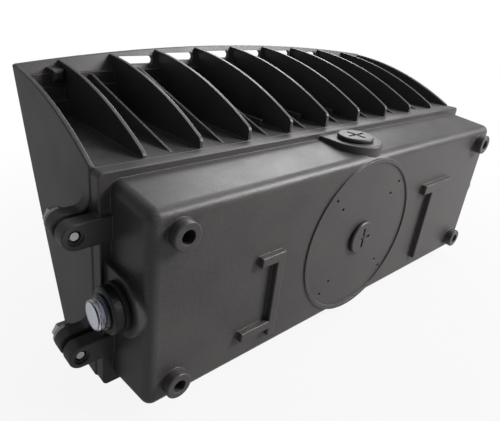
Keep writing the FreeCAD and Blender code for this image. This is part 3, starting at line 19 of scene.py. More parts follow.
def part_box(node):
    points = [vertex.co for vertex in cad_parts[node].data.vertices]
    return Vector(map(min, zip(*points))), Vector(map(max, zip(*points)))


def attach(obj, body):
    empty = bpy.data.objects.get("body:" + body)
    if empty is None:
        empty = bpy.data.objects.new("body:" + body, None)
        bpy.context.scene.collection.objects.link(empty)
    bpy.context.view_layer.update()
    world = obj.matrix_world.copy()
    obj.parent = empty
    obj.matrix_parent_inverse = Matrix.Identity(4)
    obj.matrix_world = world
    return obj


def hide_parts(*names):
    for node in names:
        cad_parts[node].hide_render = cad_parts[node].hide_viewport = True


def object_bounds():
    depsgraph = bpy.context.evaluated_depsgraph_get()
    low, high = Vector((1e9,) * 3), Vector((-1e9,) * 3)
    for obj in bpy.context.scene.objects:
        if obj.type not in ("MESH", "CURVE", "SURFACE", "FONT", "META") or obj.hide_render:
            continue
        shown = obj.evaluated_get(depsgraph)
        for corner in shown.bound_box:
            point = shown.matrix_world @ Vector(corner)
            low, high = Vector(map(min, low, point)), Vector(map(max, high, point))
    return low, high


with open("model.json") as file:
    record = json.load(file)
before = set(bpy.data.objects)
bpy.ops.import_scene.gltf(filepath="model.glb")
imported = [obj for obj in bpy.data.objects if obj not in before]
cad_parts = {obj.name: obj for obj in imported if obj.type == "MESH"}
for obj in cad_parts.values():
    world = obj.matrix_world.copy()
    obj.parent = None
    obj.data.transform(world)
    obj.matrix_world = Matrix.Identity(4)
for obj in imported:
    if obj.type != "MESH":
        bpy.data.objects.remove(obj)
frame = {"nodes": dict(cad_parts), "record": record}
packed_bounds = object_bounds()

log = logging.getLogger("wall_pack_light")
Colour = tuple[float, float, float, float]
Profile = Sequence[tuple[float, ...]]
Mesh, Node, Tree, Socket = bpy.types.Mesh, bpy.types.Node, bpy.types.NodeTree, bpy.types.NodeSocket
FLOAT, WHOLE, COLOUR, SHAPE = "NodeSocketFloat", "NodeSocketInt", "NodeSocketColor", "NodeSocketGeometry"
MM = 0.001
SMOOTH_ANGLE = math.radians(35)


class Slot(Enum):
    """The finishes that the record names."""

    CASTING = "coated_casting"
    FRAME = "coated_frame"
    PLUG = "coated_plug"
    RUBBER = "black_rubber"
    GLASS = "clear_glass"
    STAINLESS = "stainless"
    REFLECTOR = "white_reflector"
    BOARD = "white_board"
    LED = "led_yellow"
    DRIVER = "driver_case"
    WHITE_LEAD = "lead_white"
    BLACK_LEAD = "lead_black"
    RED_LEAD = "lead_red"
    NUT = "nut_orange"
    CONNECTOR = "connector_nylon"
    SURGE = "surge_case"
    GREEN = "green_screw"
    BLACK_PLASTIC = "black_plastic"
    CLEAR = "clear_plastic"
    SENSOR = "sensor_face"


class Body(Enum):
    """The bodies that a piece can ride on."""

    BOX = "box"
    HOUSING = "housing"
    UPPER_BOLT = "upper_bolt_body"
    LOWER_BOLT = "lower_bolt_body"
    UPPER_WASHER = "upper_washer_body"
    LOWER_WASHER = "lower_washer_body"


class Way(Enum):
    """Directions of the parts' frame."""

    LEFT = (-1.0, 0.0, 0.0)
    RIGHT = (1.0, 0.0, 0.0)
    WALL = (0.0, 1.0, 0.0)
    ROOM = (0.0, -1.0, 0.0)
    UP = (0.0, 0.0, 1.0)
    DOWN = (0.0, 0.0, -1.0)

    @property
    def vector(self) -> Vector:
        """The direction as a vector."""
        return Vector(self.value)


def srgb(*channels: int) -> Colour:
    """Turn a display colour into the linear colour that shaders use.

    Args:
        *channels: Red, green and blue, from 0 to 255.

    Returns:
        The linear colour with an alpha of 1.
    """
    shares = [channel / 255 for channel in channels]
    return (*(one / 12.92 if one <= 0.04045 else ((one + 0.055) / 1.055) ** 2.4 for one in shares), 1.0)


def shown(name: str, data: bpy.types.ID) -> bpy.types.Object:
    """Put a new object into the scene.

    Args:
        name: The object's name.
        data: Its mesh, lamp or camera.

    Returns:
        The object.
    """
    made = bpy.data.objects.new(name, data)
    bpy.context.scene.collection.objects.link(made)
    return made


# ---------------------------------------------------------------- node trees
class Graph:
    """Adds nodes to one tree and feeds their sockets."""

    def __init__(self, tree: Tree) -> None:
        """Keep the tree that the nodes go into."""
        self.tree = tree

    @classmethod
    def emptied(cls, owner: bpy.types.Material | bpy.types.World) -> "Graph":
        """The graph of a material or world, with every node cleared.

        Args:
            owner: What the tree belongs to.

        Returns:
            The graph of its empty tree.
        """
        owner.use_nodes = True
        owner.node_tree.nodes.clear()
        return cls(owner.node_tree)

    def node(self, kind: str, inputs: dict | None = None, **settings: object) -> Node:
        """Add a node.

        Args:
            kind: The node's type name.
            inputs: Values or sockets for the node's inputs, by name or index.
            **settings: Properties of the node itself.

        Returns:
            The new node.
        """
        made = self.tree.nodes.new(kind)
        for name, value in settings.items():
            setattr(made, name, value)
        for name, value in (inputs or {}).items():
            if isinstance(value, Socket):
                self.tree.links.new(value, made.inputs[name])
            else:
                made.inputs[name].default_value = value
        return made

    def calc(self, operation: str, first: object, second: object) -> Socket:
        """The result of a Math node on two numbers or sockets."""
        return self.node("ShaderNodeMath", {0: first, 1: second}, operation=operation).outputs[0]

    def blend(self, share: object, first: object, second: object) -> Socket:
        """Two colours mixed, with the share of the second."""
        return self.node("ShaderNodeMix", {0: share, 6: first, 7: second}, data_type="RGBA").outputs[2]

    def stretch(self, value: object, low: float, high: float, to_low: object, to_high: object) -> Socket:
        """A value mapped from one range onto another, and kept within it."""
        inputs = {"Value": value, "From Min": low, "From Max": high, "To Min": to_low, "To Max": to_high}
        return self.node("ShaderNodeMapRange", inputs).outputs[0]

    def place(self) -> Socket:
        """Where a point lies in its object's own coordinates."""
        return self.node("ShaderNodeTexCoord").outputs["Object"]

    def noise(self, place: Socket, scale: object, detail: float = 2.0, roughness: float = 0.5) -> Socket:
        """A noise from 0 to 1 at this place."""
        inputs = {"Vector": place, "Scale": scale, "Detail": detail, "Roughness": roughness}
        return self.node("ShaderNodeTexNoise", inputs).outputs[0]


class Group(Graph):
    """A node group with named inputs and outputs."""

    def __init__(self, name: str, kind: str, inputs: dict[str, tuple], outputs: dict[str, str]) -> None:
        """Start the group.

        Args:
            name: The group's name.
            kind: The type of its tree.
            inputs: Socket type and default of each input, by name.
            outputs: Socket type of each output, by name.
        """
        super().__init__(bpy.data.node_groups.new(name, kind))
        for title, (socket_type, default) in inputs.items():
            socket = self.tree.interface.new_socket(title, in_out="INPUT", socket_type=socket_type)
            if default is not None:
                socket.default_value = default
        for title, socket_type in outputs.items():
            self.tree.interface.new_socket(title, in_out="OUTPUT", socket_type=socket_type)
        self.given = self.node("NodeGroupInput").outputs
        self.result = self.node("NodeGroupOutput")

    def end(self, **results: Socket) -> Tree:
        """Link the group's outputs.

        Args:
            **results: The socket that feeds each output, by name.

        Returns:
            The finished tree.
        """
        for title, socket in results.items():
            self.tree.links.new(socket, self.result.inputs[title])
        return self.tree


@functools.cache
def grain_group() -> Tree:
    """Shader group: fine grain and slow blotches on object coordinates, as a colour, a mask and a height.

    Returns:
        The group.
    """
    group = Group("fine_grain", "ShaderNodeTree",
                  {"Grain Scale": (FLOAT, 1000.0), "Blotch Scale": (FLOAT, 50.0),
                   "Dark": (COLOUR, (0, 0, 0, 1)), "Light": (COLOUR, (1, 1, 1, 1))},
                  {"Color": COLOUR, "Mask": FLOAT, "Height": FLOAT})
    place, grain_share, middle, spread = group.place(), 0.65, 0.5, 0.14
    grain = group.noise(place, group.given["Grain Scale"], 3.0, 0.6)
    blotch = group.noise(place, group.given["Blotch Scale"])
    both = group.calc("ADD", group.calc("MULTIPLY", grain, grain_share),
                      group.calc("MULTIPLY", blotch, 1 - grain_share))
    mask = group.stretch(both, middle - spread, middle + spread, 0.0, 1.0)
    tint = group.blend(mask, group.given["Dark"], group.given["Light"])
    return group.end(Color=tint, Mask=mask, Height=grain)


@functools.cache
def edge_group() -> Tree:
    """Shader group: a softened normal along sharp edges, and a mask of where they are, used for the painted
    edge highlight.

    Returns:
        The group.
    """
    group = Group("soft_edges", "ShaderNodeTree", {"Radius": (FLOAT, 0.0005)},
                  {"Normal": "NodeSocketVector", "Mask": FLOAT})
    soft = group.node("ShaderNodeBevel", {"Radius": group.given["Radius"]}, samples=6).outputs[0]
    true = group.node("ShaderNodeNewGeometry").outputs["Normal"]
    agree = group.node("ShaderNodeVectorMath", {0: soft, 1: true}, operation="DOT_PRODUCT").outputs["Value"]
    flat, bent = 0.995, 0.80
    return group.end(Normal=soft, Mask=group.stretch(agree, flat, bent, 0.0, 1.0))


@functools.cache
def dust_group() -> Tree:
    """Shader group: a mask of thin dust that lies in patches on faces that look up.

    Returns:
        The group.
    """
    group = Group("thin_dust", "ShaderNodeTree", {"Amount": (FLOAT, 0.1), "Scale": (FLOAT, 90.0)},
                  {"Mask": FLOAT})
    normal = group.node("ShaderNodeNewGeometry").outputs["Normal"]
    up = group.node("ShaderNodeSeparateXYZ", {0: normal}).outputs["Z"]
    patch = group.noise(group.place(), group.given["Scale"], 5.0, 0.7)
    level, rough = group.stretch(up, 0.3, 1.0, 0.0, 1.0), group.stretch(patch, 0.4, 0.7, 0.0, 1.0)
    lying = group.calc("MULTIPLY", level, rough)
    return group.end(Mask=group.calc("MULTIPLY", lying, group.given["Amount"]))


# ---------------------------------------------------------------- finishes
@dataclass(frozen=True)
class Finish:
    """What every finish has: two tones, a range of roughness, a fine grain, softened edges and a painted
    highlight along them.
    """

    dark: Colour
    light: Colour
    smoothest: float = 0.4
    roughest: float = 0.5
    grain: float = 1.0 * MM
    blotch: float = 25 * MM
    relief: float = 0.01 * MM
    edge: float = 0.3 * MM
    # A lighter tone blended in along sharp edges, and its share: a painted edge highlight.
    edge_highlight_tone: Colour = (0.5, 0.5, 0.5, 1.0)
    edge_highlight_share: float = 0.0
    dust: float = 0.0
    dust_tone: Colour = (0.35, 0.34, 0.32, 1.0)
    specular: float = 0.5

    def build(self, name: str) -> bpy.types.Material:
        """Make the material.

        Args:
            name: The material's name.

        Returns:
            A node material on object coordinates.
        """
        made = bpy.data.materials.new(name)
        graph = Graph.emptied(made)
        grain = graph.node("ShaderNodeGroup", {
            "Grain Scale": 1 / self.grain, "Blotch Scale": 1 / self.blotch, "Dark": self.dark,
            "Light": self.light}, node_tree=grain_group()).outputs
        edges = graph.node("ShaderNodeGroup", {"Radius": self.edge}, node_tree=edge_group()).outputs
        # Sharp edges are blended towards a lighter tone: a painted highlight along the rounded edges.
        tone = graph.blend(graph.calc("MULTIPLY", edges["Mask"], self.edge_highlight_share),
                           self.pattern(graph, grain["Color"]), self.edge_highlight_tone)
        if self.dust:
            dust = graph.node("ShaderNodeGroup", {"Amount": self.dust}, node_tree=dust_group())
            tone = graph.blend(dust.outputs["Mask"], tone, self.dust_tone)
        rough = graph.stretch(grain["Mask"], 0.0, 1.0, self.smoothest, self.roughest)
        bump = graph.node("ShaderNodeBump", {"Height": grain["Height"], "Normal": edges["Normal"],
                                             "Distance": self.relief})
        shader = graph.node("ShaderNodeBsdfPrincipled", {
            "Base Color": tone, "Roughness": rough, "Normal": bump.outputs[0],
            "Specular IOR Level": self.specular})
        self.tune(shader)
        graph.node("ShaderNodeOutputMaterial", {"Surface": shader.outputs[0]})
        return made

    def pattern(self, graph: Graph, tone: Socket) -> Socket:
        """Work a pattern into the tone; a plain finish has none."""
        return tone

    def tune(self, shader: Node) -> None:
        """Set what the shader holds uniformly; a plain finish sets nothing."""


@dataclass(frozen=True)
class Metal(Finish):
    """Bare or plated metal."""

    def tune(self, shader: Node) -> None:
        """Make the shader metal."""
        shader.inputs["Metallic"].default_value = 1.0


@dataclass(frozen=True)
class Clear(Finish):
    """Glass or clear plastic."""

    index: float = 1.5

    def tune(self, shader: Node) -> None:
        """Let light through."""
        shader.inputs["Transmission Weight"].default_value = 1.0
        shader.inputs["IOR"].default_value = self.index


@dataclass(frozen=True)
class Ringed(Finish):
    """A face moulded with fine rings about an axis along X."""

    ring: float = 1.6 * MM
    centre: tuple[float, float, float] = (0.0, 0.0, 0.0)
    ring_tone: Colour = (0.3, 0.3, 0.35, 1.0)
    ring_share: float = 0.25

    def pattern(self, graph: Graph, tone: Socket) -> Socket:
        """Darken thin rings around the centre.

        Args:
            graph: The material's graph.
            tone: The tone between the rings.

        Returns:
            The ringed tone.
        """
        moved = graph.node("ShaderNodeMapping", {"Vector": graph.place(),
                                                 "Location": [-part for part in self.centre]})
        rings = graph.node("ShaderNodeTexWave", {"Vector": moved.outputs[0], "Scale": 0.05 / self.ring,
                                                 "Distortion": 0.0}, wave_type="RINGS", rings_direction="X")
        share = graph.calc("MULTIPLY", rings.outputs["Fac"], self.ring_share)
        return graph.blend(share, tone, self.ring_tone)


@functools.cache
def finishes() -> dict[Slot, Finish]:
    """Every finish of the light.

    Returns:
        The finishes, by the record's slot.
    """
    # The edge tones here are lighter than their finishes: painted highlights along the edges.
    coat = dict(dark=srgb(62, 60, 60), light=srgb(84, 81, 80), smoothest=0.34, roughest=0.48, grain=0.9 * MM,
                blotch=30 * MM, relief=0.06 * MM, edge=0.6 * MM, edge_highlight_tone=srgb(165, 163, 158),
                edge_highlight_share=0.5, dust=0.08)
    lead = dict(smoothest=0.35, roughest=0.5, edge=0.1 * MM)
    sensor_low, sensor_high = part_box("photocell_sensor")
    return {
        Slot.CASTING: Finish(**coat),
        Slot.FRAME: Finish(**{**coat, "edge": 0.4 * MM}),
        Slot.PLUG: Finish(**{**coat, "edge": 0.3 * MM, "edge_highlight_share": 0.2}),
        Slot.RUBBER: Finish(srgb(17, 17, 18), srgb(27, 27, 29), 0.55, 0.75, specular=0.35),
        Slot.GLASS: Clear(srgb(238, 246, 242), srgb(246, 251, 249), 0.0, 0.03, relief=0.001 * MM,
                          edge=0.2 * MM),
        Slot.STAINLESS: Metal(srgb(176, 174, 170), srgb(214, 212, 208), 0.18, 0.34, grain=0.35 * MM,
                              blotch=4 * MM, relief=0.002 * MM, edge=0.12 * MM),
        Slot.REFLECTOR: Finish(srgb(222, 222, 219), srgb(230, 230, 227), 0.12, 0.2, 2.5 * MM,
                               relief=0.02 * MM),
        Slot.BOARD: Finish(srgb(214, 215, 211), srgb(226, 227, 222), 0.3, 0.42, 0.6 * MM),
        Slot.LED: Finish(srgb(214, 176, 48), srgb(236, 205, 84), 0.3, 0.45, 0.3 * MM, 2 * MM, edge=0.1 * MM),
        Slot.DRIVER: Finish(srgb(118, 120, 122), srgb(138, 140, 142), 0.4, 0.55, relief=0.02 * MM,
                            edge=0.4 * MM, edge_highlight_tone=srgb(170, 171, 172), edge_highlight_share=0.3),
        Slot.WHITE_LEAD: Finish(srgb(205, 204, 198), srgb(222, 221, 216), **lead),
        Slot.BLACK_LEAD: Finish(srgb(22, 22, 23), srgb(34, 34, 35), **lead),
        Slot.RED_LEAD: Finish(srgb(150, 24, 20), srgb(172, 34, 28), **lead),
        Slot.NUT: Finish(srgb(205, 92, 22), srgb(224, 112, 36), 0.28, 0.4, edge=0.2 * MM,
                         edge_highlight_tone=srgb(240, 150, 80), edge_highlight_share=0.2),
        Slot.CONNECTOR: Finish(srgb(206, 203, 190), srgb(222, 219, 207), 0.38, 0.5),
        Slot.SURGE: Finish(srgb(30, 30, 32), srgb(42, 42, 44), 0.3, 0.45, relief=0.02 * MM, edge=0.4 * MM,
                           edge_highlight_tone=srgb(90, 90, 92), edge_highlight_share=0.25),
        Slot.GREEN: Metal(srgb(36, 120, 58), srgb(58, 150, 80), 0.25, 0.4, 0.3 * MM, edge=0.12 * MM),
        Slot.BLACK_PLASTIC: Finish(srgb(16, 16, 18), srgb(30, 30, 34), 0.26, 0.4, 0.6 * MM, relief=0.08 * MM,
                                   edge=0.15 * MM, edge_highlight_tone=srgb(80, 80, 84), edge_highlight_share=0.2),
        Slot.CLEAR: Clear(srgb(225, 227, 236), srgb(238, 239, 246), 0.04, 0.12, 0.8 * MM, edge=0.15 * MM,
                          index=1.49),
        Slot.SENSOR: Ringed(srgb(196, 197, 212), srgb(214, 215, 228), 0.35, 0.5, edge=0.15 * MM,
                            centre=tuple((sensor_low + sensor_high) / 2)),
    }


@functools.cache
def material(slot: Slot) -> bpy.types.Material:
    """The material of a slot, made the first time that it is asked for."""
    return finishes()[slot].build(slot.value)


def dress(mesh: Mesh, slot: Slot) -> None:
    """Give a mesh one material."""
    mesh.materials.clear()
    mesh.materials.append(material(slot))


# ---------------------------------------------------------------- meshes
def smoothed(mesh: Mesh) -> Mesh:
    """Shade a mesh smoothly up to an angle.

    Args:
        mesh: The mesh, which is changed.

    Returns:
        The same mesh.
    """
    mesh.shade_smooth()
    mesh.set_sharp_from_angle(angle=SMOOTH_ANGLE)
    return mesh


def mesh_from(build: bmesh.types.BMesh, name: str) -> Mesh:
    """Turn a bmesh into a smooth mesh whose faces look outwards.

    Args:
        build: The bmesh, which is freed.
        name: The mesh's name.

    Returns:
        The mesh.
    """
    bmesh.ops.recalc_face_normals(build, faces=build.faces)
    mesh = bpy.data.meshes.new(name)
    build.to_mesh(mesh)
    build.free()
    return smoothed(mesh)


def rounded(points: Profile, radius: float, closed: bool = False, steps: int = 4) -> list[tuple[float, ...]]:
    """Ease the corners of a profile.

    Args:
        points: The profile's corners, as (along, radius).
        radius: How far back from each corner the easing starts.
        closed: Whether the last corner joins the first.
        steps: Points on each eased corner.

    Returns:
        The eased profile.
    """
    spots = [Vector(point) for point in points]
    eased: list[tuple[float, ...]] = []
    for index, corner in enumerate(spots):
        if not closed and index in (0, len(spots) - 1):
            eased.append(tuple(corner))
            continue
        start, finish = (corner + (other - corner) * min(0.49, radius / max((other - corner).length, 1e-9))
                         for other in (spots[index - 1], spots[(index + 1) % len(spots)]))
        for step in range(steps + 1):
            share = step / steps
            eased.append(tuple(start.lerp(corner, share).lerp(corner.lerp(finish, share), share)))
    return eased


def lathe(profile: Profile, segments: int = 72, closed: bool = False, lobes: int = 0) -> Mesh:
    """Turn a profile about Z.

    Args:
        profile: Points (along, radius), or (along, radius, depth of the lobes as a share of the radius).
        segments: Faces round the axis.
        closed: Whether the last point joins the first, as on a ring.
        lobes: How many lobes the points with a third value have.

    Returns:
        The turned mesh.
    """
    build = bmesh.new()
    rings = []
    for along, radius, *lobe in profile:
        if radius < 1e-9:
            rings.append([build.verts.new((0, 0, along))])
            continue
        ring = []
        for step in range(segments):
            angle = math.tau * step / segments
            reach = radius * (1 + (lobe[0] * math.cos(lobes * angle) if lobe else 0))
            ring.append(build.verts.new((reach * math.cos(angle), reach * math.sin(angle), along)))
        rings.append(ring)
    pairs = list(zip(rings, rings[1:])) + ([(rings[-1], rings[0])] if closed else [])
    for lower, upper in pairs:
        for step in range(segments):
            after = (step + 1) % segments
            corners = [lower[step % len(lower)], lower[after % len(lower)], upper[after % len(upper)],
                       upper[step % len(upper)]]
            build.faces.new(list(dict.fromkeys(corners)))
    return mesh_from(build, "turned")


def block(size: Sequence[float], bevel: float, steps: int = 2) -> Mesh:
    """A block about the origin with rounded edges.

    Args:
        size: Lengths along X, Y and Z.
        bevel: Width of the rounding.
        steps: Faces across the rounding.

    Returns:
        The mesh.
    """
    build = bmesh.new()
    bmesh.ops.create_cube(build, size=1.0)
    bmesh.ops.scale(build, vec=size, verts=build.verts)
    bmesh.ops.bevel(build, geom=build.edges, offset=bevel, segments=steps, profile=0.5, affect="EDGES")
    return mesh_from(build, "block")


def placed(mesh: Mesh, spot: Vector, way: Vector = Way.UP.vector, spin: float = 0.0) -> Mesh:
    """Turn a mesh's Z axis to a direction and move it to a spot.

    Args:
        mesh: The mesh, which is changed.
        spot: Where its origin goes.
        way: Where its Z axis points.
        spin: Turn about its own Z axis first.

    Returns:
        The same mesh.
    """
    turn = way.to_track_quat("Z", "Y").to_matrix().to_4x4()
    mesh.transform(Matrix.Translation(spot) @ turn @ Matrix.Rotation(spin, 4, "Z"))
    return mesh


def merged(meshes: Sequence[Mesh]) -> Mesh:
    """Put several meshes into one.

    Args:
        meshes: The meshes, which are used up.

    Returns:
        One mesh with all their faces.
    """
    build = bmesh.new()
    for mesh in meshes:
        build.from_mesh(mesh)
        bpy.data.meshes.remove(mesh)
    return mesh_from(build, "merged")


@dataclass(frozen=True)
class Solid:
    """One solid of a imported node: its axis, the two ends along it and its half width."""

    way: Vector
    middle: Vector
    low: float
    high: float
    half: float

    @property
    def long(self) -> float:
        """The length along the axis."""
        return self.high - self.low

    def point(self, rise: float = 0.0) -> Vector:
        """The axis's point this far above the low end."""
        return self.middle + self.way * (self.low + rise)

    def hold(self, mesh: Mesh, rise: float = 0.0, spin: float = 0.0) -> Mesh:
        """Set a mesh that was made about Z on the axis, this far above the low end."""
        return placed(mesh, self.point(rise), self.way, spin)


def solids(node: str, way: Vector) -> list[Solid]:
    """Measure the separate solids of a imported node.

    Args:
        node: The node's name.
        way: The direction of the solids' axes.

    Returns:
        The solids, in order of their place.
    """
    side = way.cross(Way.RIGHT.vector if abs(way.x) < 0.5 else Way.UP.vector).normalized()
    across = way.cross(side)
    build = bmesh.new()
    build.from_mesh(frame["nodes"][node].data)
    bmesh.ops.remove_doubles(build, verts=build.verts, dist=1e-6)
    left, found = set(build.verts), []
    while left:
        open_ends, island = [left.pop()], []
        while open_ends:
            vertex = open_ends.pop()
            island.append(vertex.co.copy())
            near = left.intersection(edge.other_vert(vertex) for edge in vertex.link_edges)
            left -= near
            open_ends.extend(near)
        spans = [(min(point.dot(axis) for point in island), max(point.dot(axis) for point in island))
                 for axis in (way, side, across)]
        middle = side * sum(spans[1]) / 2 + across * sum(spans[2]) / 2
        found.append(Solid(way, middle, *spans[0], (spans[1][1] - spans[1][0]) / 2))
    build.free()
    return sorted(found, key=lambda one: tuple(round(part, 5) for part in one.point()))


def front_normal() -> Vector:
    """The direction in which the lens looks."""
    normal = max(frame["nodes"]["lens_glass"].data.polygons, key=lambda face: face.area).normal.copy()
    return normal if normal.y < 0 else -normal


# ---------------------------------------------------------------- geometry node trees
class Growth(Group):
    """A geometry node tree for what repeats."""

    def __init__(self, name: str, inputs: dict[str, tuple]) -> None:
        """Begin the tree with a geometry, its own inputs and a material.

        Args:
            name: The tree's name.
            inputs: Socket type and default of each input, by name.
        """
        shared = {"Geometry": (SHAPE, None), **inputs, "Material": ("NodeSocketMaterial", None)}
        super().__init__(name, "GeometryNodeTree", shared, {"Geometry": SHAPE})

    def vector(self, *parts: Socket) -> Socket:
        """Up to three numbers joined into a vector."""
        return self.node("ShaderNodeCombineXYZ", dict(enumerate(parts))).outputs[0]

    def close(self, shape: Socket) -> Tree:
        """End the tree: real geometry with its material.

        Args:
            shape: What the tree has made.

        Returns:
            The finished tree.
        """
        real = self.node("GeometryNodeRealizeInstances", {"Geometry": shape}).outputs[0]
        dressed = self.node("GeometryNodeSetMaterial", {"Geometry": real, "Material": self.given["Material"]})
        return self.end(Geometry=dressed.outputs[0])

    def close_on(self, points: Socket, part: Socket, **turn: Socket) -> Tree:
        """End the tree with one part at every point, turned where a rotation is given."""
        inputs = {"Points": points, "Instance": part, **turn}
        return self.close(self.node("GeometryNodeInstanceOnPoints", inputs).outputs[0])


@functools.cache
def part_at_points() -> Tree:
    """Geometry tree: one part at every point.

    Returns:
        The tree.
    """
    growth = Growth("part_at_points", {"Part": ("NodeSocketObject", None)})
    part = growth.node("GeometryNodeObjectInfo", {"Object": growth.given["Part"], "As Instance": True})
    return growth.close_on(growth.given["Geometry"], part.outputs["Geometry"])


@functools.cache
def ridge_ring() -> Tree:
    """Geometry tree: straight ridges round the Z axis.

    Returns:
        The tree.
    """
    growth = Growth("ridge_ring", {
        "Count": (WHOLE, 24), "Radius": (FLOAT, 0.01), "Depth": (FLOAT, 0.001), "Width": (FLOAT, 0.0005),
        "Length": (FLOAT, 0.004)})
    given = growth.given
    circle = growth.node("GeometryNodeMeshCircle", {"Vertices": given["Count"], "Radius": given["Radius"]})
    size = growth.vector(given["Depth"], given["Width"], given["Length"])
    ridge = growth.node("GeometryNodeMeshCube", {"Size": size})
    place = growth.node("GeometryNodeInputPosition").outputs[0]
    outward = growth.node("FunctionNodeAlignRotationToVector", {"Vector": place}, axis="X", pivot_axis="Z")
    return growth.close_on(circle.outputs[0], ridge.outputs[0], Rotation=outward.outputs[0])


@functools.cache
def thread() -> Tree:
    """Geometry tree: a thread that winds up the Z axis.

    Returns:
        The tree.
    """
    growth = Growth("thread", {
        "Turns": (FLOAT, 5.0), "Radius": (FLOAT, 0.003), "Rise": (FLOAT, 0.01), "Depth": (FLOAT, 0.0004)})
    given = growth.given
    path = growth.node("GeometryNodeCurveSpiral", {
        "Resolution": 28, "Rotations": given["Turns"], "Start Radius": given["Radius"],
        "End Radius": given["Radius"], "Height": given["Rise"]})
    section = growth.node("GeometryNodeCurvePrimitiveCircle", {"Resolution": 4, "Radius": given["Depth"]})
    wound = growth.node("GeometryNodeCurveToMesh", {
        "Curve": path.outputs[0], "Profile Curve": section.outputs[0], "Fill Caps": True})
    return growth.close(wound.outputs[0])


@functools.cache
def bar_row() -> Tree:
    """Geometry tree: bars side by side along X, about the origin.

    Returns:
        The tree.
    """
    growth = Growth("bar_row", {
        "Count": (WHOLE, 5), "Spacing": (FLOAT, 0.004), "Width": (FLOAT, 0.002), "Length": (FLOAT, 0.01),
        "Height": (FLOAT, 0.001)})
    given = growth.given
    gaps = growth.calc("SUBTRACT", given["Count"], 1.0)
    first = growth.calc("MULTIPLY", growth.calc("MULTIPLY", gaps, given["Spacing"]), -0.5)
    row = growth.node("GeometryNodeMeshLine", {
        "Count": given["Count"], "Start Location": growth.vector(first),
        "Offset": growth.vector(given["Spacing"])})
    size = growth.vector(given["Width"], given["Length"], given["Height"])
    bar = growth.node("GeometryNodeMeshCube", {"Size": size})
    return growth.close_on(row.outputs[0], bar.outputs[0])


def grown(tree: Tree, slot: Slot, points: Sequence[Vector] = (), **inputs: object) -> Mesh:
    """Run a geometry node tree and keep its result as a plain mesh.

    Args:
        tree: The tree to run.
        slot: The finish of what the tree makes.
        points: Where copies go, for a tree that needs points.
        **inputs: The tree's own inputs, by name.

    Returns:
        The mesh.
    """
    inputs["Material"] = material(slot)
    seed = bpy.data.meshes.new("seed")
    seed.from_pydata([tuple(point) for point in points] or [(0, 0, 0)], [], [])
    holder = shown("holder", seed)
    modifier = holder.modifiers.new("growth", "NODES")
    modifier.node_group = tree
    for item in tree.interface.items_tree:
        if item.in_out == "INPUT" and item.name in inputs:
            modifier[item.identifier] = inputs[item.name]
    evaluated = holder.evaluated_get(bpy.context.evaluated_depsgraph_get())
    mesh = bpy.data.meshes.new_from_object(evaluated)
    holder.modifiers.clear()
    bpy.data.objects.remove(holder)
    bpy.data.meshes.remove(seed)
    return mesh


def copies_of(part: Mesh, slot: Slot, points: Sequence[Vector]) -> Mesh:
    """Set one part at several points, without turning it.

    Args:
        part: The part, which is used up.
        slot: The copies' finish.
        points: Where the part's origin goes.

    Returns:
        One mesh of all the copies.
    """
    pattern = shown("pattern", part)
    mesh = grown(part_at_points(), slot, points, Part=pattern)
    bpy.data.objects.remove(pattern)
    bpy.data.meshes.remove(part)
    return smoothed(mesh)


# ---------------------------------------------------------------- assembling
@dataclass
class Assembly:
    """What every sub-assembly does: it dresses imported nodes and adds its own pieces."""

    body: Body = Body.BOX

    def keep(self, *nodes: str) -> None:
        """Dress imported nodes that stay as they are, in the finish that the record gives each.

        Args:
            *nodes: The nodes' names.
        """
        slots = {row["node"]: Slot(row["material_slot"]) for row in frame["record"]["subparts"]}
        for node in nodes:
            dress(frame["nodes"][node].data, slots[node])
            log.info("kept %s in %s", node, slots[node].value)

    def add(self, name: str, mesh: Mesh, slot: Slot, *replaces: str, body: Body | None = None) -> None:
        """Add a piece of the object.

        Args:
            name: The piece's name.
            mesh: Its mesh, in place.
            slot: Its finish.
            *replaces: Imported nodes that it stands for.
            body: The body that it rides on, where that isn't the assembly's own.
        """
        body = body or self.body
        mesh.name = name
        dress(mesh, slot)
        piece = shown(name, mesh)
        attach(piece, body.value)
        if replaces:
            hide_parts(*replaces)
        log.info("added %s: %d faces on %s", name, len(mesh.polygons), body.value)


def ring(solid: Solid, bore: float, easing: float, seat: float = 0.0, steps: int = 4) -> Mesh:
    """A flat ring with eased edges, in the place of a packed one.

    Args:
        solid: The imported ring.
        bore: Radius of its hole.
        easing: How far its edges are eased.
        seat: Hairline that it keeps from what it lies on.
        steps: Points on each eased edge.

    Returns:
        The ring's mesh, in place.
    """
    top = solid.long - seat
    profile = [(seat, bore), (seat, solid.half), (top, solid.half), (top, bore)]
    return solid.hold(lathe(rounded(profile, easing, closed=True, steps=steps), closed=True))


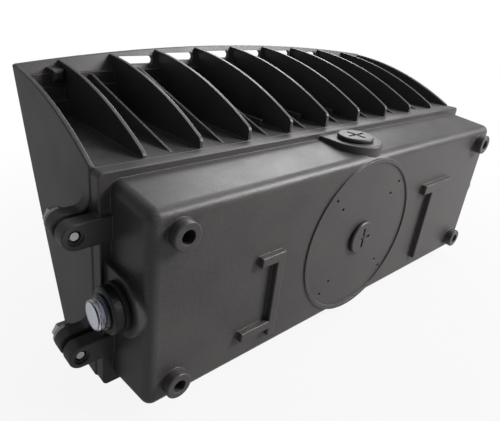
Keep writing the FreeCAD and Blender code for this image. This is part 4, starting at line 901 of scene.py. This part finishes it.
@dataclass
class Screws:
    """A set of screws with domed heads, a six-lobed recess and a threaded shank."""

    node: str
    body: Body
    way: Vector
    head: float = 2.2 * MM
    shank: float = 1.6 * MM
    slot: Slot = Slot.STAINLESS
    pitch: float = 0.7 * MM
    root: float = 0.86  # of the shank, between two crests
    tip: float = 0.6  # of the shank
    recess: float = 0.45  # of the head's radius
    recess_depth: float = 0.6  # of the head's height
    recess_taper: float = 0.9  # of the recess, at its floor
    lobe: float = 0.16  # of the recess
    lobes: int = 6
    crown: float = 0.55  # of the head's height
    crown_steps: int = 6

    def build(self) -> Mesh:
        """Make the set.

        Returns:
            One mesh of all the screws, in place.
        """
        found = solids(self.node, self.way)
        length, wide = found[0].long - self.head, found[0].half
        inner, floor = wide * self.recess, self.head * (1 - self.recess_depth)
        head = [(floor, 0.0), (floor, inner * self.recess_taper, self.lobe), (self.head, inner, self.lobe)]
        shares = [step / self.crown_steps for step in range(1, self.crown_steps + 1)]
        dome = [(self.head * (1 - self.crown * share ** 2), inner + (wide - inner) * share)
                for share in shares]
        turns = int(length / self.pitch)
        crests = [(-length * step / (2 * turns), self.shank * (1.0 if step % 2 else self.root))
                  for step in range(1, 2 * turns)]
        end = [(-length, self.shank * self.tip), (-length, 0.0)]
        screw = lathe(head + dome + [(0.0, wide), (0.0, self.shank)] + crests + end, 36, lobes=self.lobes)
        seats = [one.point(one.long - self.head) for one in found]
        return copies_of(placed(screw, Vector(), self.way), self.slot, seats)


@dataclass
class LugBolt:
    """One flange bolt of the lugs, with its hexagon head, thread and point."""

    node: str
    head: float = 6.4 * MM
    flange: float = 1.4 * MM
    hexagon: float = 5.0 * MM  # half the width across the flats
    shank: float = 3.0 * MM
    pitch: float = 1.0 * MM
    thread_depth: float = 0.3 * MM
    point: float = 0.6 * MM
    point_step: float = 0.5 * MM
    overlap: float = 0.2 * MM

    def build(self) -> Mesh:
        """Make the bolt.

        Returns:
            The bolt's mesh, in place.
        """
        solid = solids(self.node, Way.ROOM.vector)[0]
        length, core = solid.long - self.head, self.shank - self.thread_depth
        flange = [(0.0, self.shank), (0.0, solid.half), (0.35 * self.flange, solid.half),
                  (self.flange, solid.half * 0.82), (self.flange, 0.0)]
        corner, sunk, dish = self.hexagon / math.cos(math.radians(30)), self.flange * 0.9, self.head * 0.93
        head = [(sunk, 0.0), (sunk, corner), (self.head * 0.9, corner), (self.head * 0.97, corner * 0.93),
                (self.head, corner * 0.86), (self.head, corner * 0.6), (dish, corner * 0.5), (dish, 0.0)]
        shank = [(self.overlap, 0.0), (self.overlap, core), (self.point - length, core),
                 (-length, core - self.point_step), (-length, 0.0)]
        rise = length - 2 * self.point
        wind = grown(thread(), Slot.STAINLESS, Turns=rise / self.pitch, Radius=core, Rise=rise,
                     Depth=self.thread_depth)
        wind.transform(Matrix.Translation((0, 0, self.point - length)))
        parts = [lathe(rounded(flange, 0.2 * MM)), lathe(head, 6), lathe(shank, 40), wind]
        return solid.hold(merged(parts), length)


@dataclass
class Castings(Assembly):
    """The coated castings, their seals and the conduit plugs."""

    stem: float = 10.5 * MM  # a plug's radius inside the box
    pitch: float = 1.8 * MM
    turns: float = 3.0
    thread_depth: float = 0.5 * MM
    lead_in: float = 0.6 * MM  # from the stem's end to the thread

    def build(self) -> None:
        """Dress the castings and wind the thread at the inner end of each plug."""
        self.keep("back_box", "front_housing", "lens_frame", "box_gasket", "top_plug", "rear_plug",
                  "side_plug", "plug_seals")
        for node, way in (("top_plug", Way.UP), ("rear_plug", Way.WALL), ("side_plug", Way.LEFT)):
            wind = grown(thread(), Slot.PLUG, Turns=self.turns, Radius=self.stem,
                         Rise=self.turns * self.pitch, Depth=self.thread_depth)
            self.add(f"{node}_thread", solids(node, way.vector)[0].hold(wind, self.lead_in), Slot.PLUG)


@dataclass
class Hardware(Assembly):
    """Screws, lug bolts, washers, hinge pins and clips."""

    washer_bore: float = 3.1 * MM
    washer_seat: float = 0.02 * MM  # hairline to the lug that it lies on
    pin: float = 2.5 * MM
    pin_head: float = 1.6 * MM
    pin_chamfer: float = 0.6 * MM
    groove: float = 1.4 * MM  # from the pin's end
    groove_width: float = 0.9 * MM
    groove_core: float = 0.85  # of the pin's radius
    clip_mouth: float = 50.0  # degrees
    clip_steps: int = 32

    def build(self) -> None:
        """Make every fastener that shows."""
        front, room = front_normal(), Way.ROOM.vector
        for one in (Screws("lens_frame_screws", Body.HOUSING, front, 2.0 * MM),
                    Screws("led_board_screws", Body.HOUSING, front, 1.8 * MM, 1.4 * MM),
                    Screws("driver_screws", Body.HOUSING, Way.WALL.vector, 2.6 * MM, 2.0 * MM),
                    Screws("connector_screws", Body.BOX, room),
                    Screws("surge_screws", Body.BOX, room),
                    Screws("ground_screw", Body.BOX, room, slot=Slot.GREEN)):
            self.add(f"{one.node}_set", one.build(), one.slot, one.node, body=one.body)
        for side, body in (("upper", Body.UPPER_BOLT), ("lower", Body.LOWER_BOLT)):
            bolt = LugBolt(f"{side}_bolt")
            self.add(f"{side}_flange_bolt", bolt.build(), Slot.STAINLESS, bolt.node, body=body)
        for side, body in (("upper", Body.UPPER_WASHER), ("lower", Body.LOWER_WASHER)):
            washer = ring(solids(f"{side}_washer", room)[0], self.washer_bore, 0.25 * MM, self.washer_seat)
            self.add(f"{side}_plain_washer", washer, Slot.STAINLESS, f"{side}_washer", body=body)
        self.add("hinge_pin_pair", self.pins(), Slot.STAINLESS, "hinge_pins")
        self.add("retaining_clips", self.clips(), Slot.STAINLESS, "pin_clips")

    def pins(self) -> Mesh:
        """The two hinge pins, each with a domed head, a groove for its clip and a chamfered end.

        Returns:
            Both pins, in place.
        """
        found = solids("hinge_pins", Way.UP.vector)
        length, wide = found[0].long, found[0].half
        under, core = length - self.pin_head, self.pin * self.groove_core
        past = self.groove + self.groove_width
        profile = [(0.0, 0.0), (0.0, self.pin * 0.75), (self.pin_chamfer, self.pin), (self.groove, self.pin),
                   (self.groove, core), (past, core), (past, self.pin), (under, self.pin), (under, wide),
                   (under + self.pin_head * 0.5, wide), (under + self.pin_head * 0.85, wide * 0.85),
                   (length, wide * 0.5), (length, 0.0)]
        return merged([one.hold(lathe(profile, 48)) for one in found])

    def clips(self) -> Mesh:
        """The open rings that keep the pins."""
        found = solids("pin_clips", Way.UP.vector)
        return merged([one.hold(self.open_ring(one), spin=math.radians(90)) for one in found])

    def open_ring(self, clip: Solid) -> Mesh:
        """A flat ring with a mouth and three inner teeth.

        Args:
            clip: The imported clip.

        Returns:
            The ring's mesh, about the Z axis.
        """
        build = bmesh.new()
        sections = []
        for step in range(self.clip_steps + 1):
            share = step / self.clip_steps
            angle = math.radians(self.clip_mouth / 2 + (360 - self.clip_mouth) * share)
            tooth = self.pin if math.cos(math.tau * share * 2) > 0.6 else (self.pin + clip.half) / 2
            corners = [(tooth, 0), (clip.half, 0), (clip.half, clip.long), (tooth, clip.long)]
            sections.append([build.verts.new((radius * math.cos(angle), radius * math.sin(angle), level))
                             for radius, level in corners])
        for first, second in zip(sections, sections[1:]):
            for corner in range(4):
                after = (corner + 1) % 4
                build.faces.new([first[corner], first[after], second[after], second[corner]])
        build.faces.new(sections[0])
        build.faces.new(sections[-1])
        return mesh_from(build, "clip")


@dataclass
class LightSensor(Assembly):
    """The light sensor: seal ring, knurled nut and ridged clear cap, stacked on a threaded stem."""

    bore: float = 9.3 * MM  # radius inside the seal and the nut
    seal_easing: float = 1.3 * MM
    ridges: int = 96
    ridge_depth: float = 0.7 * MM
    ridge_width: float = 0.42 * MM
    nut_chamfer: float = 0.9 * MM
    nut_margin: float = 1.6 * MM
    cap_wall: float = 1.0 * MM
    flange: float = 1.2 * MM
    lip: float = 1.0 * MM
    groove_depth: float = 0.45 * MM
    diffuser_thick: float = 0.3 * MM
    diffuser_gap: float = 0.05 * MM
    diffuser_play: float = 0.15 * MM

    def build(self) -> None:
        """Make the stack from the wall outwards."""
        self.keep("photocell_body")
        seal = ring(self.solid("seal"), self.bore, self.seal_easing, steps=6)
        self.add("sensor_seal_ring", seal, Slot.RUBBER, "photocell_seal")
        self.add("sensor_knurled_nut", self.nut(), Slot.BLACK_PLASTIC, "photocell_nut")
        self.add("sensor_clear_cap", self.cap(), Slot.CLEAR, "photocell_lens")
        self.add("sensor_window", self.window(), Slot.SENSOR, "photocell_sensor")
        self.add("sensor_diffuser", self.diffuser(), Slot.REFLECTOR)

    def solid(self, name: str) -> Solid:
        """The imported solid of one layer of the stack."""
        return solids(f"photocell_{name}", Way.RIGHT.vector)[0]

    def nut(self) -> Mesh:
        """The round nut with a finely ridged rim.

        Returns:
            The nut's mesh, in place.
        """
        nut = self.solid("nut")
        rim, shoulder = nut.half - self.ridge_depth * 0.6, nut.long - self.nut_chamfer
        profile = [(0.0, self.bore), (0.0, rim), (shoulder, rim), (nut.long, rim - self.nut_chamfer),
                   (nut.long, self.bore)]
        body = lathe(rounded(profile, 0.25 * MM, closed=True), 96, closed=True)
        ridges = grown(ridge_ring(), Slot.BLACK_PLASTIC, Count=self.ridges, Depth=self.ridge_depth,
                       Radius=nut.half - self.ridge_depth / 2, Width=self.ridge_width,
                       Length=nut.long - self.nut_margin)
        ridges.transform(Matrix.Translation((0, 0, shoulder / 2)))
        return nut.hold(merged([body, ridges]))

    def cap(self) -> Mesh:
        """The clear cap: a flange, two ridges and a front disc over a hollow.

        Returns:
            The cap's mesh, in place.
        """
        cap = self.solid("lens")
        long, rim, back = cap.long, cap.half - self.lip, cap.long - self.cap_wall
        hollow, groove = rim - self.cap_wall, rim - self.groove_depth
        outside = [(0.0, cap.half), (self.flange, cap.half), (self.flange, groove), (long * 0.38, groove),
                   (long * 0.43, rim), (long * 0.52, rim), (long * 0.57, groove), (long * 0.66, groove),
                   (long * 0.71, rim), (long - 0.5 * MM, rim), (long, rim - 0.7 * MM)]
        inside = [(back, 0.0), (back, hollow), (0.0, hollow)]
        return cap.hold(lathe(inside + rounded(outside, 0.15 * MM, steps=3) + [(long, 0.0)]))

    def diffuser(self) -> Mesh:
        """The thin white disc that backs the cap's front and scatters the light.

        Returns:
            The disc's mesh, in place.
        """
        cap = self.solid("lens")
        rim = cap.half - self.lip - self.diffuser_play - self.cap_wall
        front = cap.long - self.cap_wall - self.diffuser_gap
        back = front - self.diffuser_thick
        profile = [(back, 0.0), (back, rim), (front, rim), (front, 0.0)]
        return cap.hold(lathe(rounded(profile, 0.08 * MM)))

    def window(self) -> Mesh:
        """The pale sensing window under the cap, with a stepped rim.

        Returns:
            The window's mesh, in place.
        """
        cell = self.solid("sensor")
        step = cell.long * 0.75
        profile = [(0.0, 0.0), (0.0, cell.half), (step, cell.half), (step, cell.half * 0.9),
                   (cell.long, cell.half * 0.86), (cell.long, 0.0)]
        return cell.hold(lathe(rounded(profile, 0.12 * MM)))


@dataclass
class LedEngine(Assembly):
    """Glass, seals, reflector, LED board and the packages on it."""

    body: Body = Body.HOUSING
    package: float = 5.0 * MM
    base: float = 0.9 * MM
    pad: float = 1.7 * MM
    dome: float = 2.1 * MM
    dome_rise: float = 0.62  # of the dome's radius
    track: float = 3.52 * MM
    track_gap: float = 1.0 * MM
    track_height: float = 0.16 * MM

    def build(self) -> None:
        """Dress what is packed and set out the LED packages and the board's tracks."""
        self.keep("lens_glass", "lens_gasket", "reflector", "led_board")
        front = front_normal()
        found = solids("led_chips", front)
        self.packages(front, [one.point() for one in found])
        self.tracks(front, found)

    def packages(self, front: Vector, seats: list[Vector]) -> None:
        """The LED packages: a ceramic base, a phosphor pad and a clear dome each.

        Args:
            front: The way that the LEDs look.
            seats: Where each package meets the board.
        """
        base = block((self.package, self.package, self.base), 0.2 * MM)
        base.transform(Matrix.Translation((0, 0, self.base / 2)))
        foot = self.base * 0.9
        pad = [(foot, 0.0), (foot, self.pad), (self.base + 0.12 * MM, self.pad - 0.1 * MM),
               (self.base + 0.16 * MM, 0.0)]
        rise, start = self.dome * self.dome_rise, self.base + 0.02 * MM
        dome = [(start, 0.0), (start, self.dome)]
        dome += [(self.base + rise * math.sin(angle), self.dome * math.cos(angle))
                 for angle in map(math.radians, range(15, 90, 15))]
        dome += [(self.base + rise, 0.0)]
        for name, part, slot, replaces in (("led_package_bases", base, Slot.BOARD, ["led_chips"]),
                                           ("led_phosphor_pads", lathe(pad, 20), Slot.LED, []),
                                           ("led_domes", lathe(dome, 24), Slot.CLEAR, [])):
            self.add(name, copies_of(placed(part, Vector(), front), slot, seats), slot, *replaces)

    def tracks(self, front: Vector, found: list[Solid]) -> None:
        """Flat tracks between the packages of each row, under the mask.

        Args:
            front: The way that the LEDs look.
            found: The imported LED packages.
        """
        upward = front.cross(Way.LEFT.vector).normalized()
        rows = sorted({round(one.middle.dot(upward), 4) for one in found})
        columns = sorted({round(one.middle.x, 4) for one in found})
        pitch = columns[1] - columns[0]
        turn = Matrix((Way.RIGHT.vector, upward, front)).transposed().to_4x4()
        strips = []
        for row in rows:
            strip = grown(bar_row(), Slot.BOARD, Count=len(columns) - 1, Spacing=pitch,
                          Width=pitch - self.package - self.track_gap, Length=self.track,
                          Height=self.track_height)
            middle = Way.RIGHT.vector * (columns[0] + columns[-1]) / 2 + upward * row + front * found[0].low
            strip.transform(Matrix.Translation(middle) @ turn)
            strips.append(strip)
        self.add("board_tracks", merged(strips), Slot.BOARD)


@dataclass
class Driver(Assembly):
    """The LED driver, its leads and the half of the quick connector that swings with the housing."""

    body: Body = Body.HOUSING
    ribs: int = 9
    rib_spacing: float = 14 * MM
    rib_width: float = 3.0 * MM
    rib_height: float = 0.9 * MM
    rib_margin: float = 10 * MM
    collar_place: float = 4.2 * MM
    collar_long: float = 2.2 * MM
    collar_bore: float = 1.3 * MM
    collar_wide: float = 2.4 * MM
    grips: int = 5
    grip_spacing: float = 2.6 * MM
    grip_width: float = 1.2 * MM
    grip_height: float = 1.0 * MM
    grip_back: float = 3 * MM
    latch: tuple[float, float, float] = (8 * MM, 9 * MM, 1.6 * MM)
    latch_back: float = 14 * MM

    def build(self) -> None:
        """Dress the driver and add its ribs, collars and the connector's grip."""
        self.keep("led_driver", "led_leads", "driver_leads", "lead_grommet", "connector_housing_half")
        low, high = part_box("led_driver")
        middle = (low + high) / 2
        ribs = grown(bar_row(), Slot.DRIVER, Count=self.ribs, Spacing=self.rib_spacing, Width=self.rib_width,
                     Length=(high.z - low.z) - self.rib_margin, Height=2 * self.rib_height)
        face = Vector((middle.x, high.y, middle.z))
        self.add("driver_case_ribs", placed(ribs, face, Way.WALL.vector), Slot.DRIVER)
        collars = [self.lead_collar(lead) for lead in solids("driver_leads", Way.UP.vector)]
        self.add("driver_lead_collars", merged(collars), Slot.RUBBER)
        self.add("connector_grip_bars", self.connector_grip(), Slot.CONNECTOR)

    def lead_collar(self, lead: Solid) -> Mesh:
        """A short rubber collar where a lead leaves the driver.

        Args:
            lead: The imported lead.

        Returns:
            The collar's mesh, in place.
        """
        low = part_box("led_driver")[0]
        spot = Vector((lead.middle.x, low.y + self.collar_place, low.z))
        bore, wide, long = self.collar_bore, self.collar_wide, self.collar_long
        profile = [(0.0, bore), (0.0, wide), (long, wide - 0.3 * MM), (long, bore)]
        return placed(lathe(rounded(profile, 0.2 * MM, closed=True), 28, closed=True), spot, Way.DOWN.vector)

    def connector_grip(self) -> Mesh:
        """Grip bars and a latch on the housing half of the quick connector.

        Returns:
            Bars and latch as one mesh, in place.
        """
        low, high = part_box("connector_housing_half")
        middle = (low + high) / 2
        bars = grown(bar_row(), Slot.CONNECTOR, Count=self.grips, Spacing=self.grip_spacing,
                     Width=self.grip_width, Length=(high.x - low.x) * 0.7, Height=self.grip_height)
        turn = Matrix((Way.WALL.vector, Way.RIGHT.vector, Way.UP.vector)).transposed().to_4x4()
        bars.transform(Matrix.Translation((middle.x, middle.y - self.grip_back, high.z)) @ turn)
        latch = block(self.latch, 0.4 * MM)
        return merged([bars, placed(latch, Vector((middle.x, high.y - self.latch_back, low.z)))])


@dataclass
class WiringSpace(Assembly):
    """What is fixed in the back box: surge protector, connector half, leads and wire nuts."""

    flutes: int = 14
    flute_depth: float = 0.9 * MM
    flute_width: float = 1.0 * MM
    panel_margin: float = 16 * MM  # both tabs of the case
    panel_share: float = 0.72  # of the case between its tabs
    panel_high: float = 22 * MM
    panel_thick: float = 0.8 * MM

    def build(self) -> None:
        """Dress the pieces, make the fluted wire nuts and the panel on the surge protector's case."""
        self.keep("surge_protector", "connector_box_half", "photocell_leads", "supply_leads")
        nuts = [self.wire_nut(one) for one in solids("wire_nuts", Way.RIGHT.vector)]
        self.add("fluted_wire_nuts", merged(nuts), Slot.NUT, "wire_nuts")
        low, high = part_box("surge_protector")
        middle = (low + high) / 2
        wide = self.panel_share * (high.x - low.x - self.panel_margin)
        panel = block((wide, self.panel_high, self.panel_thick), 0.3 * MM)
        face = Vector((middle.x, low.y, middle.z))
        self.add("surge_case_panel", placed(panel, face, Way.ROOM.vector), Slot.SURGE)

    def wire_nut(self, nut: Solid) -> Mesh:
        """A tapered nut with flutes and a rounded closed end.

        Args:
            nut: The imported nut.

        Returns:
            The nut's mesh, in place.
        """
        long, mouth = nut.long, nut.half
        profile = [(0.0, 0.0), (0.0, mouth * 0.4), (long * 0.62, mouth * 0.72), (long * 0.66, mouth * 0.9),
                   (long, mouth * 0.94), (long, mouth * 0.74), (long * 0.7, mouth * 0.7), (long * 0.7, 0.0)]
        flutes = grown(ridge_ring(), Slot.NUT, Count=self.flutes, Radius=mouth - self.flute_depth / 2,
                       Depth=self.flute_depth, Width=self.flute_width, Length=long * 0.3)
        flutes.transform(Matrix.Translation((0, 0, long * 0.83)))
        return nut.hold(merged([lathe(rounded(profile, 0.6 * MM), 56), flutes]))


# ---------------------------------------------------------------- studio
@dataclass
class Studio:
    """Camera, lamps, floor and background."""

    camera_place: tuple[float, float, float] = (0.2700, 0.1478, 0.1506)
    look_from: tuple[float, float, float] = (0.5997, 0.6851, 0.4136)
    roll: float = 5.10  # degrees
    lens: float = 33.71
    shift: tuple[float, float] = (0.0640, -0.0219)
    floor_drop: float = 0.4 * MM
    floor_half: float = 4.0
    fade: tuple[float, float] = (0.20, 0.50)  # from the origin, start and end
    near_share: float = 0.90  # of white, before the fade
    ambient: float = 0.085  # what the background gives the light
    mirrored: float = 0.28  # how white a reflection sees it

    def build(self) -> None:
        """Make the whole studio."""
        self.camera()
        self.lamp("key", (-0.62, 0.52, 0.56), 0.42, 11.2, (1.0, 0.985, 0.975))
        self.lamp("top", (-0.80, -0.05, 1.4), 1.0, 4.6, (1.0, 1.0, 1.0))
        self.lamp("rim", (-1.1, -1.0, 0.85), 0.7, 9.0, (1.0, 1.0, 1.0))
        self.floor()
        self.background()
        bpy.context.scene.view_settings.view_transform = "Standard"

    def camera(self) -> None:
        """The camera at the photograph's viewing angle."""
        back = Vector(self.look_from).normalized()
        level = Way.UP.vector.cross(back).normalized()
        upright = back.cross(level)
        turn = math.radians(self.roll)
        right = level * math.cos(turn) + upright * math.sin(turn)
        up = upright * math.cos(turn) - level * math.sin(turn)
        data = bpy.data.cameras.new("camera")
        data.lens = self.lens
        data.shift_x, data.shift_y = self.shift
        data.clip_start = 0.01
        camera = shown("camera", data)
        axes = Matrix((right, up, back)).transposed().to_4x4()
        camera.matrix_world = Matrix.Translation(self.camera_place) @ axes
        bpy.context.scene.camera = camera

    def lamp(self, name: str, place: tuple[float, float, float], size: float, power: float,
             tint: tuple[float, float, float]) -> None:
        """A soft square lamp that looks at the light.

        Args:
            name: The lamp's name.
            place: Where it hangs.
            size: Its width.
            power: Its power in watts.
            tint: Its colour.
        """
        data = bpy.data.lights.new(name, "AREA")
        data.size, data.energy, data.color = size, power, tint
        away = Vector(place)
        turn = away.to_track_quat("Z", "Y").to_matrix().to_4x4()
        shown(name, data).matrix_world = Matrix.Translation(away) @ turn

    def seen(self, graph: Graph) -> Socket:
        """How much a surface is looked at: one straight or through clear glass, less in a reflection.

        Args:
            graph: The graph of the floor or the background.

        Returns:
            The socket that holds the share.
        """
        path = graph.node("ShaderNodeLightPath").outputs
        straight = graph.calc("MAXIMUM", path["Is Camera Ray"], path["Is Transmission Ray"])
        return graph.calc("MAXIMUM", straight, graph.calc("MULTIPLY", path["Is Glossy Ray"], self.mirrored))

    def floor(self) -> None:
        """A pale floor that keeps the shadow and fades to white far away."""
        low, half = packed_bounds[0].z - self.floor_drop, self.floor_half
        corners = [(-half, -half, low), (half, -half, low), (half, half, low), (-half, half, low)]
        mesh = bpy.data.meshes.new("floor")
        mesh.from_pydata(corners, [], [(0, 1, 2, 3)])
        paper = bpy.data.materials.new("pale_floor")
        graph = Graph.emptied(paper)
        place = graph.place()
        far = graph.node("ShaderNodeVectorMath", {0: place}, operation="LENGTH").outputs["Value"]
        tone = graph.blend(graph.noise(place, 60.0), (0.44, 0.44, 0.44, 1), (0.48, 0.48, 0.48, 1))
        matt = graph.node("ShaderNodeBsdfDiffuse", {"Color": tone}).outputs[0]
        white = graph.node("ShaderNodeEmission", {"Color": (1, 1, 1, 1), "Strength": 1.0}).outputs[0]
        share = graph.calc("MULTIPLY", self.seen(graph), graph.stretch(far, *self.fade, self.near_share, 1.0))
        mixed = graph.node("ShaderNodeMixShader", {0: share, 1: matt, 2: white}).outputs[0]
        graph.node("ShaderNodeOutputMaterial", {"Surface": mixed})
        mesh.materials.append(paper)
        floor = shown("floor", mesh)

    def background(self) -> None:
        """A white background that lights the object only a little."""
        world = bpy.data.worlds.new("white")
        graph = Graph.emptied(world)
        seen = self.seen(graph)
        strength = graph.stretch(seen, 0.0, 1.0, self.ambient, 1.0)
        tint = graph.blend(seen, (0.86, 0.92, 1.0, 1), (1, 1, 1, 1))
        light = graph.node("ShaderNodeBackground", {"Color": tint, "Strength": strength}).outputs[0]
        graph.node("ShaderNodeOutputWorld", {"Surface": light})
        bpy.context.scene.world = world


def main() -> None:
    """Build the sub-assemblies in order, then the studio."""
    logging.basicConfig(level=logging.INFO, format="%(name)s: %(message)s")
    for part in (Castings, Hardware, LightSensor, LedEngine, Driver, WiringSpace):
        log.info("building %s", part.__name__)
        part().build()
    Studio().build()


if __name__ == "__main__":
    main()
